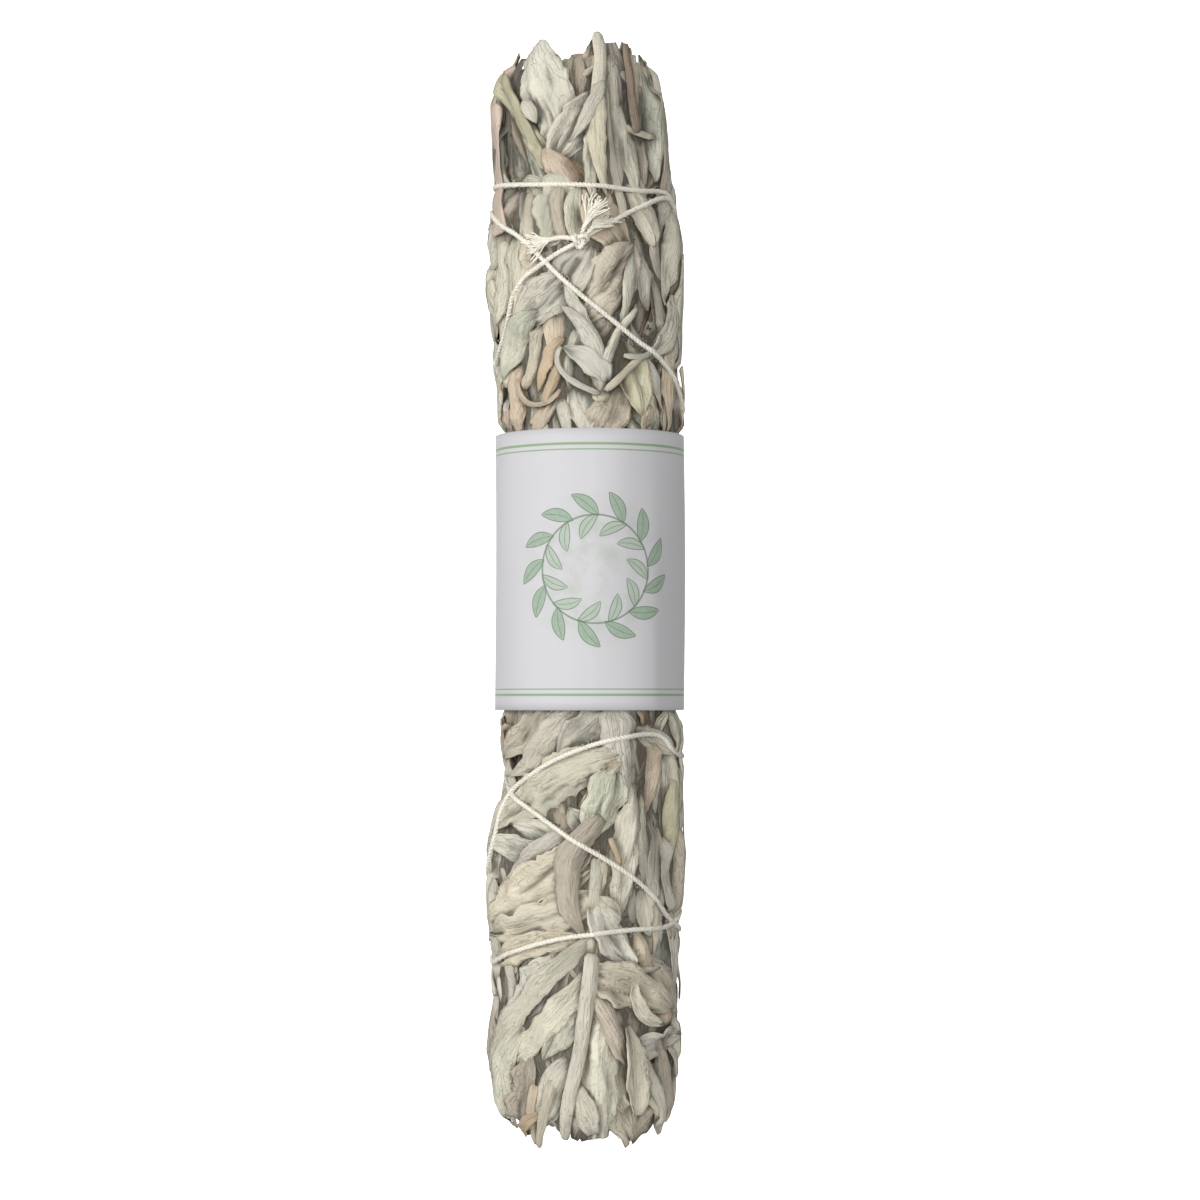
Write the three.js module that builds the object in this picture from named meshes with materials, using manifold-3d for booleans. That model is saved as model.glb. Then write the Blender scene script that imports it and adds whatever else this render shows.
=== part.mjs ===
// A white sage bunch: dried leafy stems laid together, bound with cotton twine and held in a paper sleeve.
// It lies on its back: +Y runs along the bunch towards its top end, +Z is up, and all sizes are millimetres.
import * as THREE from "three";
import { mergeVertices } from "three/addons/utils/BufferGeometryUtils.js";
import Module from "manifold-3d";

const wasm = await Module();
wasm.setup();

// Driving dimensions
const BUNCH_HALF_LENGTH = 111;
const AXIS_HEIGHT = 18.9; // the bunch's axis above the surface it lies on
const CENTRING = { x: 0.45, y: -0.24 }; // moves the finished bunch so that its box is centred on the origin
const GAP = 0.3; // between neighbouring pieces
const LEAF_THICKNESS = 0.8;
const LEAF_SINK = 0.45; // how deep a leaf is pressed into what it lies on
const CORE_DEPTH = 2.8; // the packed middle's surface under the tops of the leaves that lie on it
const CORE_END = 9; // the packed middle stops this far inside the leaf tips
const RELIEF_LIMIT = 1.7; // how far the leaves stand above or below the bunch's even surface
const FINENESS = 0.3; // detail smaller than this is smoothed away where solids have been joined
const CRUMB = 0.6;
const TWINE = { radius: 0.6, clearance: 0.5, sides: 5, stepsPerTurn: 14, freeFrom: 3 }; // freeFrom: past the paper's edge
const SLEEVE = { low: -24.4, high: 30.2, radius: 18.7, shiftX: 1, thickness: 0.5, lap: 12, sides: 36 };
const PAPER_INSIDE = SLEEVE.radius - 0.4 - SLEEVE.thickness; // the paper's inner radius
const EYE = { height: 520, along: -22 }; // where an eye above the bunch sees the front leaves as listed

// How far the bunch reaches from its axis to the -X side and to the +X side, at places along it
const REACH = [
  [-111, 13.5, 15.5],
  [-102, 17.8, 18.0],
  [-92, 19.6, 19.2],
  [-82, 18.6, 19.2],
  [-67, 19.2, 18.8],
  [-52, 20.0, 19.6],
  [-34, 16.6, 19.4],
  [-25, 16.7, 18.7],
  [-21, 16.9, 18.9],
  [27, 16.9, 18.9],
  [31, 17.0, 19.0],
  [36, 17.8, 19.8],
  [50, 19.8, 19.6],
  [68, 20.2, 19.2],
  [81, 18.8, 17.4],
  [98, 19.6, 15.6],
  [111, 13.5, 12.5],
];

// The leaves on the front, bottom layer first: [base x, base y, tip x, tip y, width, form], seen from above.
// A form is flat, ridge (rib outward), gutter (margins outward), roll or stalk.
const UPPER_LEAVES = [
  [-16.8, 98, -15.2, 74, 4.6, "stalk"],
  [-9.2, 80.6, -14.8, 93, 6, "flat"],
  [-8, 79, -15, 82, 4, "flat"],
  [-1.5, 98, -4, 107.5, 6, "gutter"],
  [0.8, 92, -8, 87, 8, "flat"],
  [-4.8, 88, -11, 109, 13, "flat"],
  [-3.6, 78, -17.4, 104.4, 4, "ridge"],
  [-8, 84.5, -15.5, 103.5, 2, "stalk"],
  [3, 102, -7, 85, 9, "flat"],
  [2, 78, -8, 88.5, 6, "ridge"],
  [3, 98, 5.2, 79, 6.5, "flat"],
  [9.6, 90, 6.2, 106, 5, "flat"],
  [5.6, 104, 8, 79, 2.6, "ridge"],
  [7.5, 95, 11.6, 78, 4.4, "ridge"],
  [-16.8, 79, -19.2, 64, 4, "ridge"],
  [-15.6, 78, -16.8, 63, 3, "ridge"],
  [-8, 81, -9, 69, 9.5, "flat"],
  [-5, 79.5, -4, 69, 3.5, "ridge"],
  [-1.5, 79.5, -1, 68, 4, "flat"],
  [1, 79.5, 9.6, 67.6, 9, "flat"],
  [-18, 68, -18.6, 53, 3.5, "ridge"],
  [-16, 69, -14.8, 56, 4.5, "flat"],
  [-6.5, 59, -6, 46, 4.5, "flat"],
  [2.8, 52, 7.4, 63, 9, "flat"],
  [0.8, 57, 10.6, 69.6, 11, "flat"],
  [-1.5, 67.5, -13.8, 53, 8.5, "flat"],
  [-17, 44, -17.6, 31, 3, "ridge"],
  [-15, 43, -14.8, 30, 3, "ridge"],
  [-13, 42, -12.2, 30, 3, "ridge"],
  [-3, 40, 0.4, 31, 6.5, "flat"],
  [3, 31, 7.8, 41, 8, "flat"],
  [-6, 42, -11.6, 31, 4.5, "flat"],
  [-6, 38, -4, 30, 2.6, "flat"],
  [-6, 49.5, -10.8, 39.6, 3, "ridge"],
  [-5, 47, -9, 37, 2.4, "stalk"],
  [-11.5, 54, -16.2, 42, 4.5, "flat"],
  [8.8, 48, 10.8, 34.6, 5.5, "flat"],
  [10.6, 65.4, 8.5, 51, 2.6, "ridge"],
];

const LOWER_LEAVES = [
  [-7, -24, -16, -34, 7, "gutter"],
  [-3.6, -24, -15.6, -37.6, 5, "flat"],
  [5.6, -24, -7, -35, 8, "flat"],
  [6.4, -24, 9.2, -45, 7, "ridge"],
  [4, -34.4, -11, -37.6, 5, "gutter"],
  [3, -35.6, -18.2, -48, 9, "flat"],
  [-4, -52, -15, -47, 5, "flat"],
  [-10.5, -52.4, -19, -49.6, 5, "flat"],
  [-5, -49.4, -17.2, -59.4, 3.5, "ridge"],
  [-1, -57, -12.6, -64, 5, "flat"],
  [-1.6, -52.4, -19, -66, 7.6, "flat"],
  [-1.6, -63, -18.6, -69, 7.6, "flat"],
  [2.4, -48.6, -4, -44, 5, "flat"],
  [5.2, -38, 0.8, -50, 8, "flat"],
  [2.8, -49, -0.4, -70, 5, "ridge"],
  [9.8, -43, 7.2, -66.6, 5.5, "ridge"],
  [-5, -71, -18.2, -75.4, 5, "flat"],
  [-7.6, -74.6, -17, -86, 7, "flat"],
  [-1.6, -80, -9, -94, 7, "flat"],
  [-1.6, -79, -17, -96, 5.5, "flat"],
  [-1.8, -73, -19.6, -96, 4.5, "flat"],
  [-15.4, -90, -16, -105.6, 4.5, "flat"],
  [-13, -95, -14.4, -106, 5, "gutter"],
  [-5, -95.6, -10, -106.4, 6, "flat"],
  [4.4, -85, 2.8, -109.6, 9, "ridge"],
  [-2, -100, 1.2, -108.6, 4.5, "flat"],
  [1.6, -80, 9, -95.6, 5.5, "ridge"],
  [2.8, -64.6, 10.6, -75.4, 6.5, "flat"],
  [9.6, -91, 10.4, -104.6, 4.5, "roll"],
];

const RIGHT_LEAVES = [
  [11.5, 105, 12, 90, 2.6, "ridge"],
  [13.5, 104, 15, 82, 4, "ridge"],
  [15.5, 100, 16.6, 79, 3, "ridge"],
  [12.4, 91, 13.2, 79, 3.5, "flat"],
  [11.6, 81, 14.6, 68.6, 5, "flat"],
  [15.6, 74, 16.8, 62, 3.4, "flat"],
  [12.4, 66, 14, 56, 4, "ridge"],
  [14.5, 48, 17.5, 59, 3.5, "flat"],
  [13.2, 46, 14.8, 30.6, 4.5, "ridge"],
  [17.4, 45, 18, 30.6, 3, "ridge"],
  [11.8, 37, 13.4, 30.6, 2.6, "ridge"],
  [12, -29, 17.6, -34, 4, "flat"],
  [15.8, -36.6, 15.6, -45, 2.6, "ridge"],
  [14, -34, 12.6, -46, 3.5, "ridge"],
  [17.8, -40, 18.4, -54.6, 3, "ridge"],
  [12, -43.6, 13.6, -59, 4, "ridge"],
  [15.6, -50, 14.2, -63, 4, "flat"],
  [17.2, -52, 18, -64.6, 3, "ridge"],
  [12.8, -61, 13.4, -69.4, 3.5, "flat"],
  [13, -76, 17.4, -84.6, 7.5, "flat"],
  [11.6, -91.6, 18.6, -88.6, 5, "flat"],
  [13.8, -94, 15.8, -108, 3.5, "ridge"],
  [16.6, -92, 17, -105, 3, "ridge"],
  [12.2, -95, 14.4, -107, 3, "ridge"],
];

const SHOOT_LEAVES = [
  [3.4, 37.6, 3, 46, 3.2, "stalk"],
  [3.5, 40, 2.6, 51.4, 2.8, "ridge"],
  [2.5, 42.6, -5, 62, 3.6, "ridge"],
  [2, 43.4, -5.5, 57, 3, "ridge"],
  [4, 41, 11.2, 57.4, 2.2, "ridge"],
  [2.6, 43, -4.4, 48.4, 5, "flat"],
  [3.8, 39.6, 11.6, 46.8, 1.6, "stalk"],
];

// The lower front stem, from its cut end up to the sleeve, seen from above, and its width
const MAIN_STEM = { path: [[-4.6, -110], [-3.4, -99], [-2, -87.6], [0.4, -74.4], [2.8, -52.4], [6.2, -24]], width: 3.4 };
// The upper front stem, from its cut end down among the leaves
const TOP_STEM = { path: [[2.4, 111], [2.8, 104], [2.8, 96], [1.8, 84]], width: 3.4 };
const TWIG = { from: [10.2, 93], to: [7.5, 109.6], radius: 0.9 };

// The stems' shares of the bunch: degrees round it from the top towards +X, and the stretch along it
const SHARES = [
  { name: "leafy_stem_front_upper", from: -80, to: 34, low: 0, high: 120 },
  { name: "leafy_stem_front_lower", from: -80, to: 34, low: -120, high: 0 },
  { name: "leafy_stem_right", from: 34, to: 94, low: -120, high: 120 },
  { name: "leafy_stem_right_under", from: 94, to: 156, low: -120, high: 120 },
  { name: "leafy_stem_under", from: 156, to: 218, low: -120, high: 120 },
  { name: "leafy_stem_left_under", from: 218, to: 280, low: -120, high: 120 },
];
const WRAPPING_LEAVES = 36; // on the sides and the back, laid by rule

// The twine's route. seen() gives a point by how it looks from above, round() by degrees and place along.
const seen = (x, y) => surfacePointSeenAt(x, y);
const round = (degrees, along) => [degrees, along];
const twineRoute = () => [
  seen(-1.2, 70), seen(3, 72.6), seen(10.8, 76.6), seen(16.6, 78.6),
  round(92, 75), round(135, 75), round(180, 77), round(230, 78), round(268, 78.4),
  seen(-19, 80.4), seen(-8, 81.2), seen(3, 81), seen(11, 80.2), seen(16.9, 79.2),
  round(92, 73), round(135, 71), round(180, 70), round(230, 71.5), round(268, 73.6),
  seen(-19.4, 75.6), seen(-14.6, 71.4), seen(-9.2, 66), seen(0.8, 57.6), seen(10.8, 49.6), seen(16.5, 44.4),
  round(92, 34), round(135, 24), round(180, 14), round(230, 6), round(280, -1),
  round(330, -7), round(20, -13), round(70, -19), round(120, -24), round(170, -29), round(220, -33),
  round(262, -37), seen(-16.4, -40.4), seen(-9.2, -46.4), seen(0.8, -52.4), seen(10.8, -58.6), seen(17.2, -65.4),
  round(92, -68), round(135, -69.6), round(180, -71), round(230, -72.6), round(265, -73.6),
  seen(-18.6, -74.4), seen(-9.2, -70.8), seen(0.8, -69.2), seen(10.8, -68.2), seen(17.4, -67.4),
  round(92, -64.4), round(135, -62), round(180, -60.4), round(230, -59), round(268, -57),
  seen(-19, -52.4), seen(-16.2, -41.6), seen(-11.2, -37), seen(-3.2, -33), seen(6.8, -30), seen(14.8, -29.4), seen(17.6, -33),
  round(98, -33), round(135, -29), round(180, -23), round(230, -14), round(280, -6),
  round(330, 1), round(20, 7), round(70, 13), round(120, 19), round(170, 26), round(220, 34), round(262, 42),
  seen(-18, 48.6), seen(-14.2, 59.6), seen(-8.2, 66.6),
];
const KNOT = { at: [-1.2, 70], radius: 1.7 };
const TAILS = [
  [[-1.2, 70], [0.4, 73.4], [2.2, 77]],
  [[-1.2, 70], [1.6, 73], [5.2, 76.4]],
  [[-1.2, 70], [-6.5, 70.6], [-12.6, 70]],
];

const radians = THREE.MathUtils.degToRad;
const UNROLL_RADIUS = 18; // the radius at which the bunch's surface is unrolled into a flat sheet
const unrolled = (degrees) => radians(degrees) * UNROLL_RADIUS;

// Draws numbers from 0 to 1, the same ones each time
function drawer(seed) {
  let state = seed >>> 0;
  return () => {
    state = (Math.imul(state, 1664525) + 1013904223) >>> 0;
    return state / 4294967296;
  };
}

const smooth = (t) => t * t * (3 - 2 * t);

function reachAt(along) {
  const y = THREE.MathUtils.clamp(along, REACH[0][0], REACH[REACH.length - 1][0]);
  const k = Math.max(1, REACH.findIndex(([at]) => at >= y));
  const [y0, left0, right0] = REACH[k - 1];
  const [y1, left1, right1] = REACH[k];
  const t = smooth((y - y0) / (y1 - y0));
  return [left0 + (left1 - left0) * t, right0 + (right1 - right0) * t];
}

// The radius of the bunch's outer surface, round its axis
function outerRadius(degrees, along) {
  const [left, right] = reachAt(along);
  return (left + right) / 2 + ((right - left) / 2) * Math.sin(radians(degrees));
}

// [degrees, along] of the surface point that an eye above the bunch sees at x, y
function surfacePointSeenAt(x, y) {
  const [left, right] = reachAt(y);
  const edge = 0.985 * (x < 0 ? left : right);
  let height = 0;
  let trueX = x;
  for (let turn = 0; turn < 4; turn++) {
    trueX = THREE.MathUtils.clamp((x * (EYE.height - height)) / EYE.height, -edge, edge);
    const r = outerRadius((Math.asin(trueX / 21) * 180) / Math.PI, y);
    height = Math.sqrt(Math.max(0, r * r - trueX * trueX));
  }
  const along = EYE.along + ((y - EYE.along) * (EYE.height - height)) / EYE.height;
  return [(Math.atan2(trueX, height) * 180) / Math.PI, along];
}

// The pile of leaves, as heights on a grid over the unrolled surface
const CELL = 2;
const ROUND_CELLS = Math.round((2 * Math.PI * UNROLL_RADIUS) / CELL);
const ALONG_CELLS = Math.ceil((2 * BUNCH_HALF_LENGTH + 8) / CELL);
const wrap = (i) => ((i % ROUND_CELLS) + ROUND_CELLS) % ROUND_CELLS;
const cellOf = (u, along) => [
  Math.floor(u / CELL),
  THREE.MathUtils.clamp(Math.floor((along + BUNCH_HALF_LENGTH + 4) / CELL), 0, ALONG_CELLS - 1),
];

class Pile {
  constructor() {
    this.heights = new Float64Array(ROUND_CELLS * ALONG_CELLS);
  }
  get(i, j) {
    return this.heights[wrap(i) * ALONG_CELLS + THREE.MathUtils.clamp(j, 0, ALONG_CELLS - 1)];
  }
  raise(u, along, height) {
    const [i, j] = cellOf(u, along);
    const k = wrap(i) * ALONG_CELLS + j;
    this.heights[k] = Math.max(this.heights[k], height);
  }
  highestNear(u, along, cells) {
    const [i, j] = cellOf(u, along);
    let highest = 0;
    for (let a = -cells; a <= cells; a++)
      for (let b = -cells; b <= cells; b++) highest = Math.max(highest, this.get(i + a, j + b));
    return highest;
  }
  blurred(cells, passes) {
    let from = this;
    for (let pass = 0; pass < passes; pass++) {
      const to = new Pile();
      for (let i = 0; i < ROUND_CELLS; i++)
        for (let j = 0; j < ALONG_CELLS; j++) {
          let sum = 0;
          for (let a = -cells; a <= cells; a++)
            for (let b = -cells; b <= cells; b++) sum += from.get(i + a, j + b);
          to.heights[i * ALONG_CELLS + j] = sum / (2 * cells + 1) ** 2;
        }
      from = to;
    }
    return from;
  }
  // The height between cell centres
  smoothAt(u, along) {
    const x = u / CELL - 0.5;
    const y = (along + BUNCH_HALF_LENGTH + 4) / CELL - 0.5;
    const [i, j] = [Math.floor(x), Math.floor(y)];
    const [fx, fy] = [x - i, y - j];
    return (
      (this.get(i, j) * (1 - fx) + this.get(i + 1, j) * fx) * (1 - fy) +
      (this.get(i, j + 1) * (1 - fx) + this.get(i + 1, j + 1) * fx) * fy
    );
  }
}

// How high the rib and the margins stand over the leaf's bed, for each form, as shares of the width
const RELIEF = {
  flat: { rib: 0.05, margin: 0 },
  ridge: { rib: 0.3, margin: 0 },
  gutter: { rib: 0, margin: 0.22 },
  roll: { rib: 0.6, margin: 0 },
  stalk: { rib: 0.5, margin: 0 },
};

// Half the width at t, from 0 at the leaf's base to 1 at its tip, as a share of the greatest
function leafOutline(t, form) {
  if (form === "stalk") return 0.8;
  if (form === "roll") return 0.9;
  return 0.22 + 0.78 * Math.sin(Math.PI * Math.min(1, 0.1 + 0.9 * t) ** 0.9) ** 0.8;
}

// A leaf's rows of points over the unrolled surface, each [left, rib, right] with its height in the pile
function rowsOf(leaf, pile) {
  const { path, width, form } = leaf;
  const curve = new THREE.CatmullRomCurve3(path.map(([degrees, along]) => new THREE.Vector3(unrolled(degrees), along, 0)));
  const long = curve.getLength();
  const steps = Math.max(path.length > 2 ? 5 : 2, Math.min(5, Math.round(long / 10)));
  const relief = RELIEF[form];
  const rows = [];
  for (let k = 0; k <= steps; k++) {
    const t = k / steps;
    const p = curve.getPointAt(t);
    const d = curve.getTangentAt(t);
    const half = (width / 2) * leafOutline(t, form) * (1 + leaf.wave * (k % 2 ? 1 : -1));
    const row = [-1, 0, 1].map((side) => {
      const u = p.x + side * half * d.y;
      const along = p.y - side * half * d.x;
      const lift = width * (side === 0 ? relief.rib : relief.margin);
      return { u, along, height: pile.highestNear(u, along, 1) - LEAF_SINK + Math.min(lift, 2.2) };
    });
    const bed = (row[0].height + row[1].height + row[2].height) / 3;
    row.forEach((q) => (q.height = Math.max(q.height, bed - 0.6)));
    rows.push(row);
  }
  return rows;
}

// Raises the pile by a laid leaf
function addToPile(rows, pile) {
  const mix = (a, b, t) => a + (b - a) * t;
  for (let k = 0; k + 1 < rows.length; k++)
    for (let side = 0; side < 2; side++)
      for (let p = 0; p <= 6; p++)
        for (let q = 0; q <= 4; q++) {
          const [a, b, c, d] = [rows[k][side], rows[k][side + 1], rows[k + 1][side], rows[k + 1][side + 1]];
          const at = (key) => mix(mix(a[key], b[key], q / 4), mix(c[key], d[key], q / 4), p / 6);
          pile.raise(at("u"), at("along"), at("height") + LEAF_THICKNESS);
        }
}

function leavesFrom(table, share, seed) {
  const draw = drawer(seed);
  return table.map(([x0, y0, x1, y1, width, form]) => ({
    path: [seen(x0, y0), seen(x1, y1)],
    width,
    form,
    wave: 0.06 + 0.06 * draw(),
    share,
  }));
}

// Leaves laid by rule on the sides and the back, each inside its stem's share of the bunch
function wrappingLeaves() {
  const draw = drawer(77);
  const shares = SHARES.slice(2);
  const leaves = [];
  for (let k = 0; k < WRAPPING_LEAVES; k++) {
    const share = shares[k % shares.length];
    const long = 34 + 26 * draw();
    const width = 8 + 6 * draw();
    const room = (share.to - share.from) / 2 - (width / 2 / UNROLL_RADIUS) * 57 * 0.8;
    const middle = (share.from + share.to) / 2;
    const turn = k / shares.length;
    const across = [0.1, -0.75, 0.75][Math.floor(turn) % 3] + 0.3 * (draw() - 0.5);
    const centre = -100 + 200 * ((0.618034 * Math.floor(turn) + 0.13 * (k % 4)) % 1);
    const lean = (draw() - 0.5) * 0.7 * room;
    const upward = draw() > 0.5 ? 1 : -1;
    const clip = (y) => THREE.MathUtils.clamp(y, 4 - BUNCH_HALF_LENGTH + 3 * draw(), BUNCH_HALF_LENGTH - 4 - 3 * draw());
    const inShare = (degrees) => middle + THREE.MathUtils.clamp(degrees, -room, room);
    if (share === shares[0] && across < -0.5) continue;
    leaves.push({
      path: [
        [inShare(across * room - lean), clip(centre - (upward * long) / 2)],
        [inShare(across * room + lean), clip(centre + (upward * long) / 2)],
      ],
      width,
      form: ["ridge", "flat", "gutter", "flat"][Math.floor(4 * draw())],
      wave: 0.05 + 0.1 * draw(),
      share: share.name,
    });
  }
  return leaves;
}

// Turns a closed geometry into a solid
function solidOf(geometry) {
  const plain = new THREE.BufferGeometry().setAttribute("position", geometry.getAttribute("position"));
  if (geometry.index) plain.setIndex(geometry.index);
  const merged = mergeVertices(plain, 1e-3);
  const triVerts = new Uint32Array(merged.index.array);
  return new wasm.Manifold(
    new wasm.Mesh({ numProp: 3, vertProperties: new Float32Array(merged.attributes.position.array), triVerts }),
  );
}

function geometryOf(solid) {
  const made = solid.getMesh();
  const geometry = new THREE.BufferGeometry();
  geometry.setAttribute("position", new THREE.BufferAttribute(new Float32Array(made.vertProperties), 3));
  geometry.setIndex(new THREE.BufferAttribute(new Uint32Array(made.triVerts), 1));
  return geometry;
}

function solidFrom(points, triangles) {
  return new wasm.Manifold(
    new wasm.Mesh({
      numProp: 3,
      vertProperties: new Float32Array(points.flat()),
      triVerts: new Uint32Array(triangles.flat()),
    }),
  );
}

// A point of the bunch at an angle, place and radius
const placed = (degrees, along, r) => [
  r * Math.sin(radians(degrees)),
  along,
  AXIS_HEIGHT + r * Math.cos(radians(degrees)),
];

// A leaf as a closed blade: an upper and a lower face split into triangles alike, and the margins between them
function bladeSolid(rows, radiusOf) {
  const points = [];
  for (const row of rows)
    for (const { u, along, height } of row) {
      const degrees = (u / UNROLL_RADIUS) * (180 / Math.PI);
      const r = radiusOf(u, along, height);
      points.push(placed(degrees, along, r), placed(degrees, along, r + LEAF_THICKNESS));
    }
  const low = (k, side) => 2 * (3 * k + side);
  const high = (k, side) => low(k, side) + 1;
  const triangles = [];
  const quad = (a, b, c, d) => triangles.push([a, b, c], [a, c, d]);
  for (let k = 0; k + 1 < rows.length; k++) {
    for (let side = 0; side < 2; side++) {
      quad(high(k, side), high(k, side + 1), high(k + 1, side + 1), high(k + 1, side));
      triangles.push([low(k, side), low(k + 1, side + 1), low(k, side + 1)]);
      triangles.push([low(k, side), low(k + 1, side), low(k + 1, side + 1)]);
    }
    quad(low(k, 0), high(k, 0), high(k + 1, 0), low(k + 1, 0));
    quad(low(k, 2), low(k + 1, 2), high(k + 1, 2), high(k, 2));
  }
  const last = rows.length - 1;
  for (let side = 0; side < 2; side++) {
    quad(low(0, side), low(0, side + 1), high(0, side + 1), high(0, side));
    quad(low(last, side), high(last, side), high(last, side + 1), low(last, side + 1));
  }
  return solidFrom(points, triangles);
}

// A round bar along points in space
function barSolid(points, radius, sides, steps, closed = false) {
  const curve = new THREE.CatmullRomCurve3(points.map((p) => new THREE.Vector3(...p)), closed);
  const section = new THREE.Shape();
  for (let k = 0; k < sides; k++) {
    const a = (2 * Math.PI * k) / sides;
    section[k ? "lineTo" : "moveTo"](radius * Math.cos(a), radius * Math.sin(a));
  }
  section.closePath();
  return solidOf(new THREE.ExtrudeGeometry(section, { steps, extrudePath: curve, bevelEnabled: false }));
}

// The border between two shares, in degrees: it waves along the bunch as pressed stems do
const borderAt = (degrees, along) => degrees + 4 * Math.sin(along / 13 + ((degrees + 360) % 360));

// The room that one stem has: a wedge of the bunch, half a gap inside its borders
function shareSolid({ from, to, low, high }) {
  const points = [];
  const rings = [];
  const stretches = Math.round((high - low) / 15);
  for (let k = 0; k <= stretches; k++) {
    const station = low + ((high - low) * k) / stretches;
    const along = station + (low === 0 && k === 0 ? GAP / 2 : 0) - (high === 0 && k === stretches ? GAP / 2 : 0);
    const [a, b] = [borderAt(from, along), borderAt(to, along)];
    const tipRadius = GAP / 2 / Math.sin(radians(b - a) / 2);
    const shift = placed((a + b) / 2, along, tipRadius);
    const ring = [shift];
    for (const f of [0, 1 / 3, 2 / 3, 1]) {
      const [x, , z] = placed(a + (b - a) * f, along, 34);
      ring.push([x + shift[0], along, z + shift[2] - AXIS_HEIGHT]);
    }
    rings.push(points.length);
    points.push(...ring);
  }
  const triangles = [];
  for (let k = 0; k < stretches; k++) {
    const [p, q] = [rings[k], rings[k + 1]];
    for (let c = 0; c < 5; c++) {
      const n = (c + 1) % 5;
      if (c === 4) triangles.push([p + c, p + n, q + n], [p + c, q + n, q + c]);
      else triangles.push([p + c, p + n, q + c], [p + n, q + n, q + c]);
    }
    if (k === 0) for (let c = 1; c < 4; c++) triangles.push([p, p + c + 1, p + c]);
    if (k === stretches - 1) for (let c = 1; c < 4; c++) triangles.push([q, q + c, q + c + 1]);
  }
  return solidFrom(points, triangles);
}

// The packed leaves and stems inside, which the outer leaves lie on
function coreSolid(radiusOf) {
  const [aroundSteps, alongSteps] = [24, 22];
  const end = BUNCH_HALF_LENGTH - CORE_END;
  const points = [placed(0, -end, 0), placed(0, end, 0)];
  for (let k = 0; k <= alongSteps; k++)
    for (let a = 0; a < aroundSteps; a++) {
      const degrees = (360 * a) / aroundSteps;
      const along = -end + (2 * end * k) / alongSteps;
      const u = unrolled(degrees);
      points.push(placed(degrees, along, radiusOf(u, along, softPile.smoothAt(u, along) - CORE_DEPTH)));
    }
  const at = (k, a) => 2 + k * aroundSteps + (a % aroundSteps);
  const triangles = [];
  for (let a = 0; a < aroundSteps; a++) {
    triangles.push([0, at(0, a + 1), at(0, a)], [1, at(alongSteps, a), at(alongSteps, a + 1)]);
    for (let k = 0; k < alongSteps; k++) {
      triangles.push([at(k, a), at(k + 1, a + 1), at(k + 1, a)], [at(k, a), at(k, a + 1), at(k + 1, a + 1)]);
    }
  }
  return solidFrom(points, triangles);
}

// Cut stem ends that stand out of the packed middle at both ends, inside one share
function stubSolids({ from, to, low, high }, seed) {
  const draw = drawer(seed);
  const stubs = [];
  for (const end of [-1, 1]) {
    if ((end < 0 && low === 0) || (end > 0 && high === 0)) continue;
    for (const depth of [6, 11.5]) {
      const degrees = from + (to - from) * (0.3 + 0.4 * draw());
      const radius = 1.1 + 0.9 * draw();
      const inner = placed(degrees, end * (BUNCH_HALF_LENGTH - 22), depth);
      const outer = placed(degrees, end * (BUNCH_HALF_LENGTH - 2 - 5 * draw()), depth + draw());
      stubs.push(barSolid([inner, outer], radius, 6, 1));
    }
  }
  return stubs;
}

// The ring of space that the sleeve takes up, out to far beyond it
function ringSolid(inner, outer, low, high) {
  const profile = [[inner, low], [outer, low], [outer, high], [inner, high], [inner, low]];
  const ring = new THREE.LatheGeometry(profile.map(([x, y]) => new THREE.Vector2(x, y)), SLEEVE.sides);
  ring.translate(SLEEVE.shiftX, 0, AXIS_HEIGHT);
  return solidOf(ring);
}

// The paper, wound round once with its end lapped over its start on the underside
function sleeveSolid() {
  const { low, high, radius, thickness, lap, sides, shiftX } = SLEEVE;
  const lapAngle = lap / radius;
  const shape = new THREE.Shape();
  const inner = radius - thickness;
  const start = -Math.PI / 2 + 0.9;
  const turn = 2 * Math.PI;
  const outside = [];
  for (let k = 0; k < sides; k++) {
    const a = (turn * k) / sides;
    const lapped = a < lapAngle ? thickness * 0.8 : 0;
    outside.push([(radius - 0.4 + lapped) * Math.cos(start + a), (radius - 0.4 + lapped) * Math.sin(start + a)]);
  }
  outside.forEach(([x, y], k) => shape[k ? "lineTo" : "moveTo"](x, y));
  shape.closePath();
  const hole = new THREE.Path();
  for (let k = 0; k < sides; k++) {
    const a = -(turn * k) / sides;
    hole[k ? "lineTo" : "moveTo"]((inner - 0.4) * Math.cos(start + a), (inner - 0.4) * Math.sin(start + a));
  }
  hole.closePath();
  shape.holes.push(hole);
  const paper = new THREE.ExtrudeGeometry(shape, { depth: high - low, steps: 1, bevelEnabled: false });
  paper.rotateX(Math.PI / 2);
  paper.translate(shiftX, high, AXIS_HEIGHT);
  return solidOf(paper);
}

const joined = (solids) => wasm.Manifold.union(solids);
const largest = (solid) => solid.decompose().sort((a, b) => b.volume() - a.volume())[0];

// The ends of each edge of a solid where more than two of its triangles meet
function pinchedEdges(solid) {
  const { index, attributes } = mergeVertices(geometryOf(solid).toNonIndexed(), 1e-3);
  const uses = new Map();
  for (let k = 0; k < index.count; k += 3)
    for (let side = 0; side < 3; side++) {
      const ends = [index.getX(k + side), index.getX(k + ((side + 1) % 3))].sort((one, other) => one - other);
      const edge = uses.get(ends.join()) ?? { ends, count: 0 };
      edge.count++;
      uses.set(ends.join(), edge);
    }
  const corner = (n) => new THREE.Vector3().fromBufferAttribute(attributes.position, n).toArray();
  return [...uses.values()].filter(({ count }) => count > 2).map(({ ends }) => ends.map(corner));
}

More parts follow.
